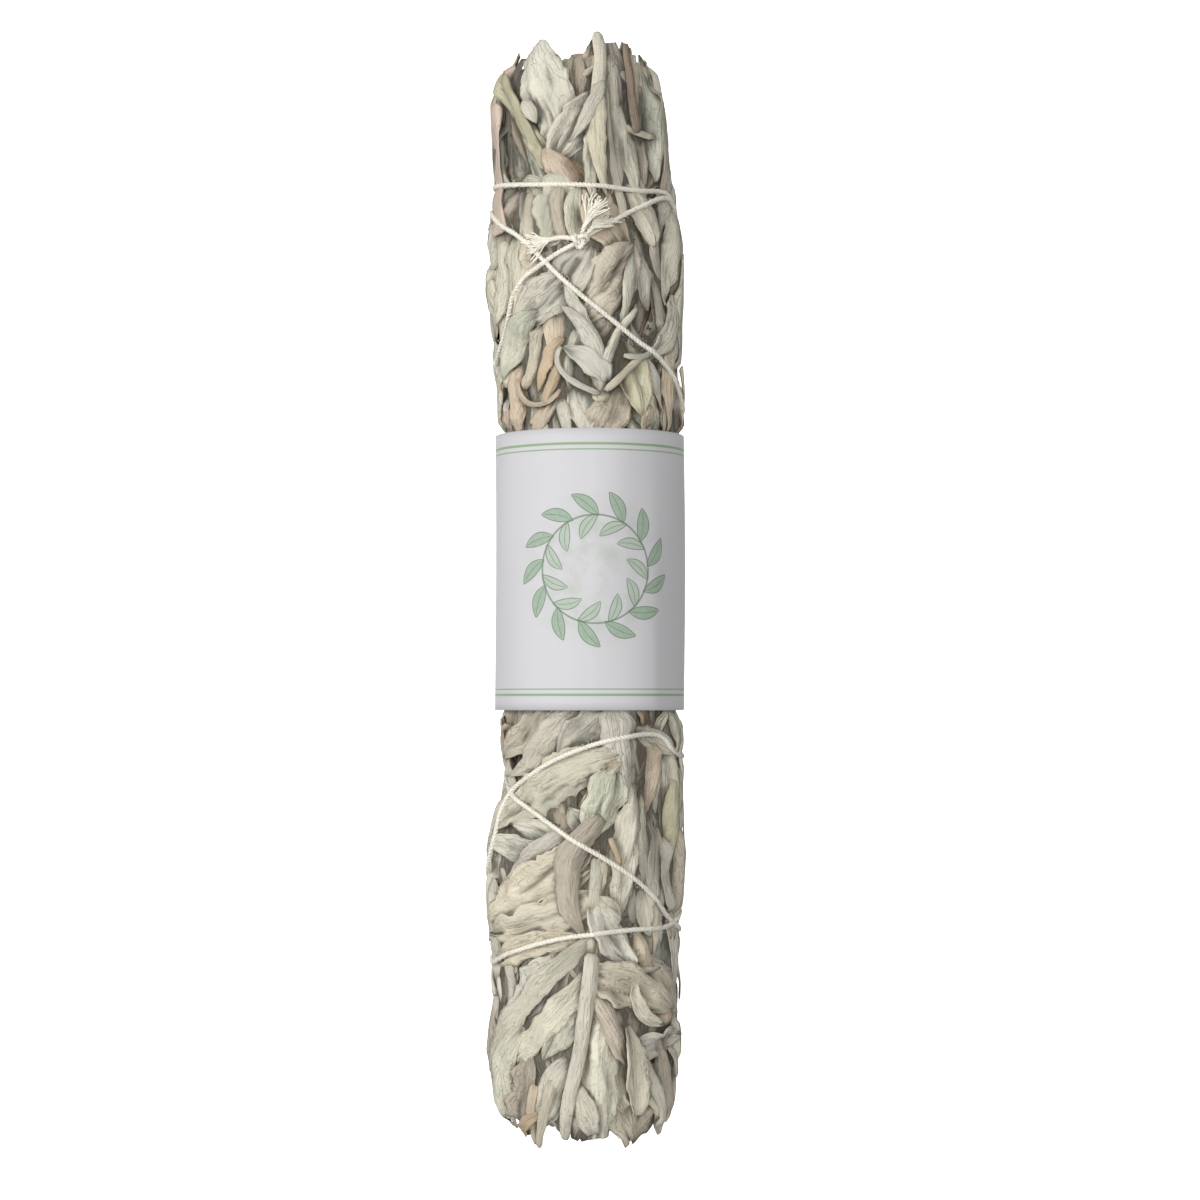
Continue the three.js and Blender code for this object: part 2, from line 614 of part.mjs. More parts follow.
// The main body of a solid, without slivers and crumbs: corners go on a fine grid, corners that meet become
// one, and what comes loose is dropped, until nothing more changes
function cleaned(solid) {
  let body = largest(solid).asOriginal();
  for (let round = 0; round < 12; round++) {
    const geometry = geometryOf(body).toNonIndexed();
    const { array } = geometry.attributes.position;
    array.forEach((value, k) => (array[k] = Math.round(value / 0.005) * 0.005));
    const triangles = body.numTri();
    body = largest(solidOf(geometry));
    if (body.numTri() === triangles) break;
  }
  return body;
}

// Lay every leaf on the pile, the sides and back first
const pile = new Pile();
const leaves = [
  ...wrappingLeaves(),
  ...leavesFrom(RIGHT_LEAVES, "leafy_stem_right", 3),
  ...leavesFrom(LOWER_LEAVES, "leafy_stem_front_lower", 4),
  ...leavesFrom(UPPER_LEAVES, "leafy_stem_front_upper", 5),
  { path: MAIN_STEM.path.map((p) => seen(...p)), width: MAIN_STEM.width, form: "stalk", wave: 0, share: "leafy_stem_front_lower" },
  { path: TOP_STEM.path.map((p) => seen(...p)), width: TOP_STEM.width, form: "stalk", wave: 0, share: "leafy_stem_front_upper" },
];
for (const leaf of leaves) {
  leaf.rows = rowsOf(leaf, pile);
  addToPile(leaf.rows, pile);
}
const evenPile = pile.blurred(3, 2);
const softPile = pile.blurred(1, 1);
const radiusOf = (u, along, height) => {
  const relief = RELIEF_LIMIT * Math.tanh((height - evenPile.smoothAt(u, along)) / RELIEF_LIMIT);
  return outerRadius((u / UNROLL_RADIUS) * (180 / Math.PI), along) + relief - 1.2;
};

// The tucked shoot lies on the others, a gap clear of them
const shootLeaves = leavesFrom(SHOOT_LEAVES, "tucked_shoot", 6);
for (const leaf of shootLeaves) {
  leaf.rows = rowsOf(leaf, pile);
  for (const row of leaf.rows) for (const q of row) q.height += LEAF_SINK + GAP;
}
shootLeaves.forEach((leaf) => addToPile(leaf.rows, pile));

// The twine: taut over the high places, pressed in where the sleeve and the ground hold it
function twinePoints() {
  let [turned, last] = [0, -40];
  const route = twineRoute();
  const unwound = [...route, route[0]].map(([degrees, along]) => {
    while (degrees + turned < last - 40) turned += 360;
    last = degrees + turned;
    return new THREE.Vector3(last, along, 0);
  });
  const curve = new THREE.CatmullRomCurve3(unwound, false, "catmullrom", 0.5);
  const turns = (last - unwound[0].x) / 360;
  const count = Math.round(turns * TWINE.stepsPerTurn);
  const pointAt = (k) => curve.getPoint(THREE.MathUtils.clamp(k / count, 0, 1));
  const surfaceAt = (k) => {
    const { x, y } = pointAt(k);
    return radiusOf(unrolled(x), y, Math.max(pile.highestNear(unrolled(x), y, 1), 0.4));
  };
  return Array.from({ length: count }, (_, k) => {
    const { x, y } = pointAt(k);
    const free = Math.max(...[-0.6, -0.3, 0, 0.3, 0.6].map((part) => surfaceAt(k + part))) + TWINE.radius + TWINE.clearance;
    const past = Math.max(y - SLEEVE.high, SLEEVE.low - y) - TWINE.freeFrom;
    const [px, , pz] = placed(x, y, 1);
    const held = PAPER_INSIDE - TWINE.radius - GAP + SLEEVE.shiftX * px;
    let r = past < 0 ? held : Math.min(free, held + past);
    const floor = AXIS_HEIGHT - TWINE.radius - 0.75;
    if (pz < AXIS_HEIGHT) r = Math.min(r, floor / (AXIS_HEIGHT - pz));
    return { point: placed(x, y, r), pressed: r < free - 0.05 && past > -4 };
  });
}

const lifted = (points, up) =>
  points.map(([x, y]) => {
    const [degrees, along] = seen(x, y);
    const u = unrolled(degrees);
    return placed(degrees, along, radiusOf(u, along, pile.highestNear(u, along, 1)) + up);
  });

const twineStations = twinePoints();
const twinePath = twineStations.map(({ point }) => point);
const twine = barSolid([...twinePath, twinePath[0]], TWINE.radius, TWINE.sides, twinePath.length * 1, false);
const knotBall = new THREE.SphereGeometry(KNOT.radius, 10, 7);
knotBall.scale(1.15, 0.9, 0.75);
knotBall.translate(...lifted([KNOT.at], 1.1)[0]);
const tails = TAILS.map((path) => barSolid(lifted(path, TWINE.radius + TWINE.clearance), TWINE.radius, TWINE.sides, 5));
const wholeTwine = joined([twine, solidOf(knotBall), ...tails]);
const pressedRuns = [];
twineStations.forEach(({ point, pressed }, k) => {
  if (!pressed) return;
  if (k === 0 || !twineStations[k - 1].pressed) pressedRuns.push([twinePath[(k || 1) - 1]]);
  pressedRuns[pressedRuns.length - 1].push(point);
  if (!twineStations[(k + 1) % twineStations.length].pressed)
    pressedRuns[pressedRuns.length - 1].push(twinePath[(k + 1) % twinePath.length]);
});
const twinePocket = joined([
  ...pressedRuns.map((run) => barSolid(run, TWINE.radius + GAP, TWINE.sides, 2 * (run.length - 1))),
  barSolid([...twinePath, twinePath[0]], TWINE.radius + GAP / 3, TWINE.sides, twinePath.length),
]);

const core = coreSolid(radiusOf);
const sleeveRoom = ringSolid(PAPER_INSIDE - 2 * TWINE.radius - 2 * GAP, 40, SLEEVE.low - GAP, SLEEVE.high + GAP);
const ground = solidOf(new THREE.BoxGeometry(120, 400, 60).translate(0, 0, -30));
const twigEnds = lifted([TWIG.from, TWIG.to], 0.2);
const twig = barSolid(twigEnds, TWIG.radius, 8, 1);
const twigHole = barSolid(twigEnds, TWIG.radius + GAP, 8, 1);
const shoot = joined(shootLeaves.map(({ rows }) => bladeSolid(rows, radiusOf))).subtract(twinePocket);
const shootHole = joined([shoot, shoot.translate(0, 0, -GAP)]);

// A solid cut to its room, with a crumb set in the solid wherever two of its surfaces only meet along an edge
function cutSoundly(solid, cut) {
  const crumb = wasm.Manifold.cube([CRUMB, CRUMB, CRUMB], true).rotate([20, 35, 50]);
  let whole = solid;
  let made = cleaned(cut(whole));
  for (let round = 0; round < 8; round++) {
    const pinched = pinchedEdges(made);
    if (!pinched.length) break;
    const fills = pinched.map((ends) => wasm.Manifold.hull(ends.map((end) => crumb.translate(end))));
    whole = joined([whole, ...fills]);
    made = cleaned(cut(whole));
  }
  return made;
}

const solids = {};
SHARES.forEach((share, k) => {
  const own = leaves.filter((leaf) => leaf.share === share.name).map(({ rows }) => bladeSolid(rows, radiusOf));
  const whole = joined([core, ...own, ...stubSolids(share, 20 + k)]).asOriginal().simplify(FINENESS);
  solids[share.name] = cutSoundly(whole, (solid) => {
    let cut = solid.intersect(shareSolid(share)).subtract(sleeveRoom).subtract(ground).subtract(twinePocket);
    if (share.name === "leafy_stem_front_upper") cut = cut.subtract(shootHole);
    if (share.high > 0 && share.from < 90) cut = cut.subtract(twigHole);
    return cut;
  });
});
solids.tucked_shoot = cutSoundly(shoot, (solid) => solid.subtract(twinePocket));
solids.dry_twig = twig;
solids.cotton_twine = cleaned(wholeTwine);
solids.paper_sleeve = sleeveSolid();

const COLOURS = {
  leafy_stem_front_upper: "#cdc9b6",
  leafy_stem_front_lower: "#cfcbb9",
  leafy_stem_right: "#c4c1ae",
  leafy_stem_right_under: "#c9c6b4",
  leafy_stem_under: "#c6c2ae",
  leafy_stem_left_under: "#cbc6b2",
  tucked_shoot: "#d3d3c6",
  dry_twig: "#8f7867",
  cotton_twine: "#e4ddcd",
  paper_sleeve: "#e0dee0",
};

const bunch = new THREE.Group();
for (const [name, solid] of Object.entries(solids)) {
  const material = new THREE.MeshStandardMaterial({ color: COLOURS[name], roughness: 0.9, metalness: 0 });
  const mesh = new THREE.Mesh(geometryOf(solid), material);
  mesh.name = name;
  bunch.add(mesh);
}
bunch.position.set(CENTRING.x, CENTRING.y, 0);

export default bunch;
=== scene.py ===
# %% [markdown]
# # A dried sage bunch, leaf by leaf
# The imported model gives the bunch's place and size. This lesson lays several hundred thin leaves over
# the same shape, winds cotton twine round them, wraps the paper sleeve and sets a camera above it.

# %% Load the frame
import math

import bpy
import numpy as np
from mathutils import Matrix, Vector


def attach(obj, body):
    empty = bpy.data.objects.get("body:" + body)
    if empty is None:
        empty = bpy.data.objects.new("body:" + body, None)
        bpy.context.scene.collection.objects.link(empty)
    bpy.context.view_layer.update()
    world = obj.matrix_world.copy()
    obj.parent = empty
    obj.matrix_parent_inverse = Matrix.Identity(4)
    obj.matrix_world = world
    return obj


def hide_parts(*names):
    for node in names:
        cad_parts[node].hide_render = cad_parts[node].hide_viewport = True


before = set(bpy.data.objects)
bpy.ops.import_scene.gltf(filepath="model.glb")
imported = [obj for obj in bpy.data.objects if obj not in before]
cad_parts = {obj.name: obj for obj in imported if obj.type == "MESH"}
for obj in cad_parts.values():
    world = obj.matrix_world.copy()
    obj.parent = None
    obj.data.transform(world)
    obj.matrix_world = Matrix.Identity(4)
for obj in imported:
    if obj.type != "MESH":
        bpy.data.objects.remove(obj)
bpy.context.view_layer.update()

# %% [markdown]
# ## Measures
# Everything is worked out in millimetres and turned into metres when a piece is made. The bunch is
# described on its unrolled surface: an angle round the axis, 0 on top and growing towards +X, and a place
# along +Y. Leaves are laid on that flat sheet and then rolled up with it, because every leaf can be
# bent there by plain formulas, which would be hard on the round bunch. `REACH` says how far the bunch
# reaches to its left and right at places along it, read off the photograph.

# %% Measures
MM = 0.001
AXIS_HEIGHT = 18.9
CENTRING = (0.45, -0.24)
UNROLL_RADIUS = 18.0
SLEEVE_LOW, SLEEVE_HIGH = -24.4, 30.2
PAPER_RADIUS = 18.6
EYE_HEIGHT, EYE_ALONG = 520.0, -22.4
TWINE_RADIUS = 0.55
RELIEF = 1.7
WIDEST = 21.0
SEEN_SHARE = 0.985
REACH = np.array(
    [
        (-111, 13.5, 15.5),
        (-102, 17.8, 18.0),
        (-92, 19.6, 19.2),
        (-82, 18.6, 19.2),
        (-67, 19.2, 18.8),
        (-52, 20.0, 19.6),
        (-34, 16.6, 19.4),
        (-25, 17.0, 18.7),
        (27, 17.2, 18.9),
        (36, 17.8, 19.8),
        (50, 19.8, 19.6),
        (68, 20.2, 19.2),
        (81, 18.8, 17.4),
        (98, 19.6, 15.6),
        (111, 13.5, 12.5),
    ]
)


def outer_radius(angle, along):
    """The radius of the bunch's outer surface at an angle in radians and a place along it."""
    left = np.interp(along, REACH[:, 0], REACH[:, 1])
    right = np.interp(along, REACH[:, 0], REACH[:, 2])
    return (left + right) / 2 + (right - left) / 2 * np.sin(angle)


def seen(x, y):
    """The unrolled place, in mm round and mm along, of what the photograph shows at x, y.

    The eye is near enough to see high things further out than they are, so the height on the surface
    and the true place are worked out in turns. Nothing is seen past a share of the reach.
    """
    height, true_x = 0.0, x
    for _ in range(4):
        reach = SEEN_SHARE * float(np.interp(y, REACH[:, 0], REACH[:, 1 if x < 0 else 2]))
        true_x = min(max(x * (EYE_HEIGHT - height) / EYE_HEIGHT, -reach), reach)
        radius = float(outer_radius(math.asin(true_x / WIDEST), y))
        height = math.sqrt(max(0.0, radius**2 - true_x**2))
    along = EYE_ALONG + (y - EYE_ALONG) * (EYE_HEIGHT - height) / EYE_HEIGHT
    return math.atan2(true_x, height) * UNROLL_RADIUS, along


def at_angle(degrees, along):
    """The unrolled place at an angle in degrees."""
    return math.radians(degrees) * UNROLL_RADIUS, along


print("a point seen at 10, 50 lies at", seen(10, 50))

# %% [markdown]
# ## The leaves that the photograph shows
# The front of the bunch has about a hundred leaves that can be told apart. They could be left to
# chance like the others, but their order and slant make the bunch this one, so they are listed. Each
# row is base x, base y, tip x, tip y, width, form and colour, in the order in which they lie on each
# other. The places are millimetres from the bunch's middle, as seen from above.

# %% Leaves on the front
UPPER = [
    (-9.2, 80.6, -14.8, 93, 6, "flat", "green"),
    (-8, 79, -15, 82, 4, "flat", "green"),
    (-0.6, 95, -2.2, 107.5, 6, "gutter", "dull"),
    (0.8, 92, -8, 87, 8, "flat", "pale"),
    (-3, 84, -14, 101, 7, "flat", "grey"),
    (-5.6, 88, -11, 109, 11, "flat", "grey"),
    (-3.6, 78, -17.4, 104.4, 4, "ridge", "olive"),
    (-8, 84.5, -15.5, 103.5, 2, "stalk", "olive"),
    (-12.4, 98, -9.6, 93.6, 2.2, "ridge", "pale"),
    (2, 98, -7, 85, 7.6, "flat", "grey"),
    (2, 78, -8, 88.5, 6, "ridge", "beige"),
    (3, 98, 5.2, 79, 6.5, "flat", "cream"),
    (9.6, 90, 6.2, 106, 5, "flat", "grey"),
    (5.6, 104, 8, 79, 2.6, "ridge", "pale"),
    (7.5, 95, 11.6, 78, 4.4, "ridge", "pale"),
    (-0.6, 103.6, 2.4, 105.6, 1.4, "stalk", "cream"),
    (8.6, 93.4, 13.6, 91, 1.4, "stalk", "pale"),
    (-16.8, 79, -19.2, 64, 4, "ridge", "pale"),
    (-15.6, 78, -16.8, 63, 3, "ridge", "taupe"),
    (-12.5, 78, -13.4, 62, 3.6, "ridge", "cream"),
    (-8, 81, -9, 69, 9.5, "flat", "green"),
    (-5, 79.5, -4, 69, 3.5, "ridge", "taupe"),
    (-1.5, 79.5, -1, 68, 4, "flat", "pale"),
    (1, 79.5, 9.6, 67.6, 9, "flat", "beige"),
    (10, 80, 14.4, 69, 5, "flat", "pale"),
    (-18, 68, -18.6, 53, 3.5, "ridge", "pale"),
    (-16, 69, -14.8, 56, 4.5, "flat", "pale"),
    (-11.5, 64, -13, 50, 4, "ridge", "cream"),
    (-6.5, 59, -6, 46, 4.5, "flat", "beige"),
    (2.8, 52, 7.4, 63, 9, "flat", "taupe"),
    (0.8, 57, 10.6, 69.6, 11, "flat", "taupe"),
    (-1.5, 67.5, -13.8, 53, 8.5, "flat", "grey"),
    (-17, 44, -17.6, 31, 3, "ridge", "pale"),
    (-15, 43, -14.8, 30, 3, "ridge", "beige"),
    (-13, 42, -12.2, 30, 3, "ridge", "pale"),
    (-3, 40, 0.4, 31, 6.5, "flat", "grey"),
    (3, 31, 7.8, 41, 8, "flat", "taupe"),
    (-6, 42, -11.6, 31, 4.5, "flat", "beige"),
    (-6, 38, -4, 30, 2.6, "flat", "white"),
    (-6, 49.5, -10.8, 39.6, 3, "ridge", "tan"),
    (-5, 47, -9, 37, 2.4, "stalk", "tan"),
    (-11.5, 54, -16.2, 42, 4.5, "flat", "green"),
    (8.8, 48, 10.8, 34.6, 5.5, "flat", "olive"),
    (10.6, 65.4, 8.5, 51, 2.6, "ridge", "green"),
    (-10.4, 51, -13.2, 40, 2.6, "ridge", "cream"),
    (-1, 52, -3.6, 40, 3, "ridge", "pale"),
]

LOWER = [
    (-7, -24, -16, -34, 7, "gutter", "taupe"),
    (-3.6, -24, -15.6, -37.6, 5, "flat", "pale"),
    (5.6, -24, -7, -35, 8, "flat", "grey"),
    (6.4, -24, 9.2, -45, 7, "ridge", "grey"),
    (4, -34.4, -11, -37.6, 5, "gutter", "beige"),
    (3, -35.6, -18.2, -48, 9, "flat", "pale"),
    (3, -36.4, -4, -48, 1.6, "stalk", "cream"),
    (4, -36.5, 1, -43.5, 1.4, "stalk", "cream"),
    (-4, -52, -15, -47, 5, "flat", "white"),
    (-10.5, -52.4, -19, -49.6, 5, "flat", "white"),
    (-5, -49.4, -17.2, -59.4, 3.5, "ridge", "grey"),
    (-1, -57, -12.6, -64, 5, "flat", "cream"),
    (-1.6, -52.4, -19, -66, 7.6, "flat", "cream"),
    (-1.6, -63, -18.6, -69, 7.6, "flat", "cream"),
    (2.4, -48.6, -4, -44, 5, "flat", "pale"),
    (5.2, -38, 0.8, -50, 8, "flat", "green"),
    (2.8, -49, -0.4, -70, 5, "ridge", "taupe"),
    (9.8, -43, 7.2, -66.6, 5.5, "ridge", "grey"),
    (2.8, -62.6, 7.4, -66, 3.4, "flat", "pale"),
    (5.2, -50, 7.2, -55.4, 1.2, "stalk", "tan"),
    (-5, -71, -18.2, -75.4, 5, "flat", "cream"),
    (-7.6, -74.6, -17, -86, 7, "flat", "white"),
    (-1.6, -80, -9, -94, 7, "flat", "green"),
    (-1.6, -79, -17, -96, 5.5, "flat", "pale"),
    (-1.8, -73, -19.6, -96, 4.5, "flat", "pale"),
    (-15.4, -90, -16, -105.6, 4.5, "flat", "pale"),
    (-13, -95, -14.4, -106, 5, "gutter", "taupe"),
    (-5, -95.6, -10, -106.4, 6, "flat", "pale"),
    (-11, -99, -11, -110.5, 2.4, "stalk", "beige"),
    (-10, -105, -13.6, -108.6, 2.4, "flat", "tan"),
    (4.4, -85, 2.8, -109.6, 9, "ridge", "pale"),
    (-2, -100, 1.2, -108.6, 4.5, "flat", "pale"),
    (1.6, -80, 9, -95.6, 5.5, "ridge", "taupe"),
    (2.8, -64.6, 10.6, -75.4, 6.5, "flat", "white"),
    (1.6, -75, 14.4, -75.6, 2.5, "ridge", "pale"),
    (1.6, -77.5, 16.4, -84, 8, "flat", "taupe"),
    (9.6, -90, 10.4, -105, 5, "gutter", "pale"),
    (10.8, -24.5, 12.6, -27.4, 2, "flat", "tan"),
]

RIGHT = [
    (11.5, 105, 12, 90, 2.6, "ridge", "taupe"),
    (13.5, 104, 15, 82, 4, "ridge", "green"),
    (15.5, 100, 16.6, 79, 3, "ridge", "taupe"),
    (12.4, 91, 13.2, 79, 3.5, "flat", "taupe"),
    (11.6, 81, 14.6, 68.6, 5, "flat", "pale"),
    (15.6, 74, 16.8, 62, 3.4, "flat", "grey"),
    (17.6, 74, 17.2, 57, 3.4, "ridge", "pale"),
    (12.4, 66, 14, 56, 4, "ridge", "white"),
    (14.5, 48, 17.5, 59, 3.5, "flat", "green"),
    (13.2, 46, 14.8, 30.6, 4.5, "ridge", "green"),
    (17.4, 45, 18, 30.6, 3, "ridge", "beige"),
    (11.8, 37, 13.4, 30.6, 2.6, "ridge", "beige"),
    (12, -29, 17.6, -34, 4, "flat", "grey"),
    (15.8, -36.6, 15.6, -45, 2.6, "ridge", "grey"),
    (14, -33, 12.6, -46, 3, "ridge", "beige"),
    (17.8, -40, 18.4, -54.6, 3, "ridge", "olive"),
    (12, -43.6, 13.6, -59, 4, "ridge", "pale"),
    (15.6, -50, 14.2, -63, 4, "flat", "pale"),
    (17.2, -52, 18, -64.6, 3, "ridge", "grey"),
    (12.8, -61, 13.4, -69.4, 3.5, "flat", "pale"),
    (13, -76, 17.4, -84.6, 7.5, "flat", "taupe"),
    (11.6, -91.6, 18.6, -88.6, 5, "gutter", "white"),
    (13.8, -94, 15.8, -108, 3.5, "ridge", "pale"),
    (16.6, -92, 17, -105, 3, "ridge", "taupe"),
    (12.2, -95, 14.4, -107, 3, "ridge", "grey"),
    (17.4, -91.5, 19, -97, 1.4, "stalk", "pale"),
]

SHOOT = [
    (3.4, 37.6, 3, 46, 3.2, "stalk", "cream"),
    (3.5, 40, 2.6, 51.4, 2.8, "ridge", "white"),
    (2.5, 42.6, -5, 62, 3.6, "ridge", "white"),
    (2, 43.4, -5.5, 57, 3, "ridge", "white"),
    (4, 41, 11.2, 57.4, 2.2, "ridge", "pale"),
    (3, 42.4, -4.6, 48.4, 4.2, "gutter", "white"),
    (3.8, 39.6, 11.6, 46.8, 1.3, "stalk", "cream"),
]

# Bent stems and leaves: the places that they pass through, width, form and colour. BENT_LOWER lies
# under the leaves of LOWER, and the others lie on the leaves listed above.
BENT_LOWER = [
    ([(6.2, -24), (4.6, -38), (2.8, -52.4), (1.6, -64)], 3.2, "stalk", "pale"),
]
OVER_LOWER = [
    ([(1.4, -73), (0.6, -80), (-0.4, -87.4), (-2, -95.4), (-4.6, -109.8)], 3.3, "stalk", "pale"),
    ([(-7.4, -98), (-8.4, -104), (-9.6, -111)], 2.2, "stalk", "cream"),
    ([(10.6, -79.6), (11.6, -84.4), (15.2, -87)], 2.4, "gutter", "pale"),
]
BENT_UPPER = [
    ([(3, 103), (4.6, 96), (6.2, 86), (8.6, 75)], 2.2, "stalk", "pale"),
    ([(2.4, 112.6), (2.6, 104), (2, 96), (1.6, 88)], 3.2, "stalk", "pale"),
    ([(-14, 42), (-11.4, 37), (-8, 37.4), (-5.5, 40)], 1.1, "stalk", "beige"),
]
BENT_SHOOT = [
    ([(2.6, 39), (-3, 41.8), (-5.5, 44.5), (-5, 48.5)], 1.1, "stalk", "white"),
    ([(7.6, 46.8), (12, 46.8), (15, 51)], 1.1, "stalk", "white"),
]
SIDE_STEM = [
    ([(-18.6, 97.4), (-18, 88), (-17.4, 71)], 4.6, "stalk", "pink"),
]

# Leaves over the stems of BENT_UPPER, and the twig, as rows like those of UPPER
OVER_UPPER = [
    (2.2, 98, 1.4, 78, 4.4, "ridge", "pale"),
    (2.6, 99, 4.6, 79, 3.6, "ridge", "cream"),
    (2.4, 101, -3.4, 90, 2.6, "flat", "grey"),
]
TWIG = [
    (10.4, 92, 7.5, 109.8, 2.1, "stalk", "brown"),
]

print(len(UPPER) + len(LOWER) + len(RIGHT) + len(SHOOT), "leaves listed")

# %% Leaf colours
# As the photograph shows them, in screen values from 0 to 255
COLOURS = {
    "pale": (214, 209, 190),
    "cream": (217, 208, 186),
    "white": (218, 214, 199),
    "green": (204, 203, 184),
    "grey": (206, 201, 186),
    "taupe": (197, 187, 169),
    "beige": (212, 196, 173),
    "pink": (207, 188, 170),
    "tan": (209, 188, 159),
    "olive": (196, 191, 163),
    "dull": (172, 162, 145),
    "brown": (146, 131, 115),
}


def linear(screen):
    """Turns a screen colour from 0 to 255 into the linear one that a material takes."""
    return tuple((value / 255) ** 2.2 for value in screen)


print(len(COLOURS), "leaf colours")

# %% [markdown]
# ## The pile
# In a real bunch the leaves are pressed together, and each bends over what is under it. Six hundred
# sheets of simulated cloth would take too long, so the surface is a grid of heights instead. A leaf is
# laid on whatever is highest under it, and then raises the grid itself, so that the next one lies on
# top.

# %% The pile of leaves
ROUND_CELLS = 188
CELL_ROUND = 2 * math.pi * UNROLL_RADIUS / ROUND_CELLS
CELL_ALONG = 0.6
ALONG_CELLS = 394
LOW_END = -118.0
FIRST_CELL, LAST_CELL = 4, ALONG_CELLS - 6
BED_EDGE = 5
pile = np.zeros((ROUND_CELLS, ALONG_CELLS))


def cells(u, s):
    """Grid places, as fractions of cells, of unrolled points."""
    along = (s - LOW_END) / CELL_ALONG - 0.5
    return u / CELL_ROUND - 0.5, np.clip(along, FIRST_CELL, LAST_CELL)


def between(grid, i, j):
    """Values between the cells of a grid that closes on itself round the bunch."""
    i0, j0 = np.floor(i).astype(int), np.floor(j).astype(int)
    fi, fj = i - i0, j - j0
    a, b = i0 % grid.shape[0], (i0 + 1) % grid.shape[0]
    low = grid[a, j0] * (1 - fi) + grid[b, j0] * fi
    high = grid[a, j0 + 1] * (1 - fi) + grid[b, j0 + 1] * fi
    return low * (1 - fj) + high * fj


def spread(grid, pick, times):
    """Replaces each cell by the highest or the mean of itself and its neighbours."""
    for _ in range(times):
        padded = np.pad(grid, 1, mode="edge")
        n, m = grid.shape
        near = np.stack([padded[a : a + n, b : b + m] for a in range(3) for b in range(3)])
        grid = near.max(axis=0) if pick == "highest" else near.mean(axis=0)
    return grid


def bed_under(u, s):
    """The height that a leaf over these points would rest at."""
    i, j = cells(u, s)
    i0, i1 = int(i.min()) - BED_EDGE, int(i.max()) + BED_EDGE + 2
    j0, j1 = max(0, int(j.min()) - BED_EDGE), int(j.max()) + BED_EDGE + 2
    part = pile[np.arange(i0, i1) % ROUND_CELLS][:, j0:j1]
    part = spread(spread(part, "highest", 2), "mean", 2)
    padded = np.pad(part, ((0, 1), (0, 1)), mode="edge")
    return between(padded, i - i0, np.clip(j - j0, 0, part.shape[1] - 1))


def raise_pile(u, s, h):
    """Raises the pile to a laid sheet of points, filled in between them."""
    for _ in range(2):
        u, s, h = [finer(grid) for grid in (u, s, h)]
    i, j = cells(u, s)
    np.maximum.at(pile, (np.round(i).astype(int) % ROUND_CELLS, np.round(j).astype(int)), h)


def finer(grid):
    """A grid with a new row and column halfway between all others."""
    n, m = grid.shape
    made = np.zeros((2 * n - 1, 2 * m - 1))
    made[::2, ::2] = grid
    made[1::2, ::2] = (grid[1:] + grid[:-1]) / 2
    made[:, 1::2] = (made[:, :-2:2] + made[:, 2::2]) / 2
    return made


print("pile of", pile.shape, "cells")

# %% [markdown]
# ## One leaf
# A dried sage leaf is long and narrow, folded along its rib, crumpled all over and torn at its margins.
# One modelled leaf could be copied, but the eye finds copies at once, so each is a sheet of points of
# its own, from its base to its tip and from margin to margin. Its form bends it: a ridge is folded with
# the rib outward, a gutter has raised margins, and a flat leaf only waves. A stalk is a bar of square
# section with rounded corners.

# %% Lines and outlines of leaves
dice = np.random.default_rng(2947)


def curve_through(points, count, bow=0.0):
    """Evenly spaced points on a smooth line through the given ones, and its directions."""
    knots = np.array(points, dtype=float)
    if len(knots) == 2:
        along = knots[1] - knots[0]
        middle = knots.mean(axis=0) + bow * np.array([along[1], -along[0]])
        knots = np.array([knots[0], middle, knots[1]])
    place = np.concatenate([[0], np.cumsum(np.linalg.norm(np.diff(knots, axis=0), axis=1))])
    degree = min(len(knots) - 1, 4)
    dense = np.linspace(0, place[-1], count * 4)
    line = np.stack([np.polyval(np.polyfit(place, knots[:, k], degree), dense) for k in (0, 1)], axis=1)
    gone = np.concatenate([[0], np.cumsum(np.linalg.norm(np.diff(line, axis=0), axis=1))])
    even = np.linspace(0, gone[-1], count)
    line = np.stack([np.interp(even, gone, line[:, k]) for k in (0, 1)], axis=1)
    direction = np.gradient(line, axis=0)
    direction /= np.linalg.norm(direction, axis=1)[:, None]
    return line, direction, gone[-1]


def margin(t, form, cut=False):
    """Half the width along a leaf, as a share of the greatest; a cut leaf ends before its tip."""
    if form == "stalk":
        return 1 - 0.15 * t
    blunt = 0.5 if form == "ridge" else 0.34
    grow = np.clip(t / 0.4, 0, 1)
    tip = 1 - np.clip((t - 0.5) / (0.66 if cut else 0.5), 0, 1) ** 2.2
    return (blunt + (1 - blunt) * grow * (2 - grow)) * np.maximum(tip, 0.04) ** 0.8


def colour_of(name):
    """A leaf's own linear colour, a little away from the named one."""
    base = np.array(linear(COLOURS[name]))
    return base * (1 + dice.normal(0, 0.05)) * (1 + dice.normal(0, 0.008, 3))


print("a fifth of the way up, a flat leaf has", round(float(margin(0.2, "flat")), 2), "of its width")

# %% Crumples and tears
# Each kind of crease has a step along the leaf, a step across it and a height
CREASES = ((10.0, 2.0, 0.15), (4.0, 0.8, 0.06))


def soft_noise(rows, cols, a, b):
    """Smooth random heights about 0, at places counted in rows and columns of a coarse grid."""
    coarse = dice.normal(0, 1, (rows + 2, cols + 2))
    i, j = np.floor(a).astype(int), np.floor(b).astype(int)
    fi, fj = a - i, b - j
    fi, fj = fi * fi * (3 - 2 * fi), fj * fj * (3 - 2 * fj)
    low = coarse[i, j] * (1 - fi) + coarse[i + 1, j] * fi
    high = coarse[i, j + 1] * (1 - fi) + coarse[i + 1, j + 1] * fi
    return low * (1 - fj) + high * fj


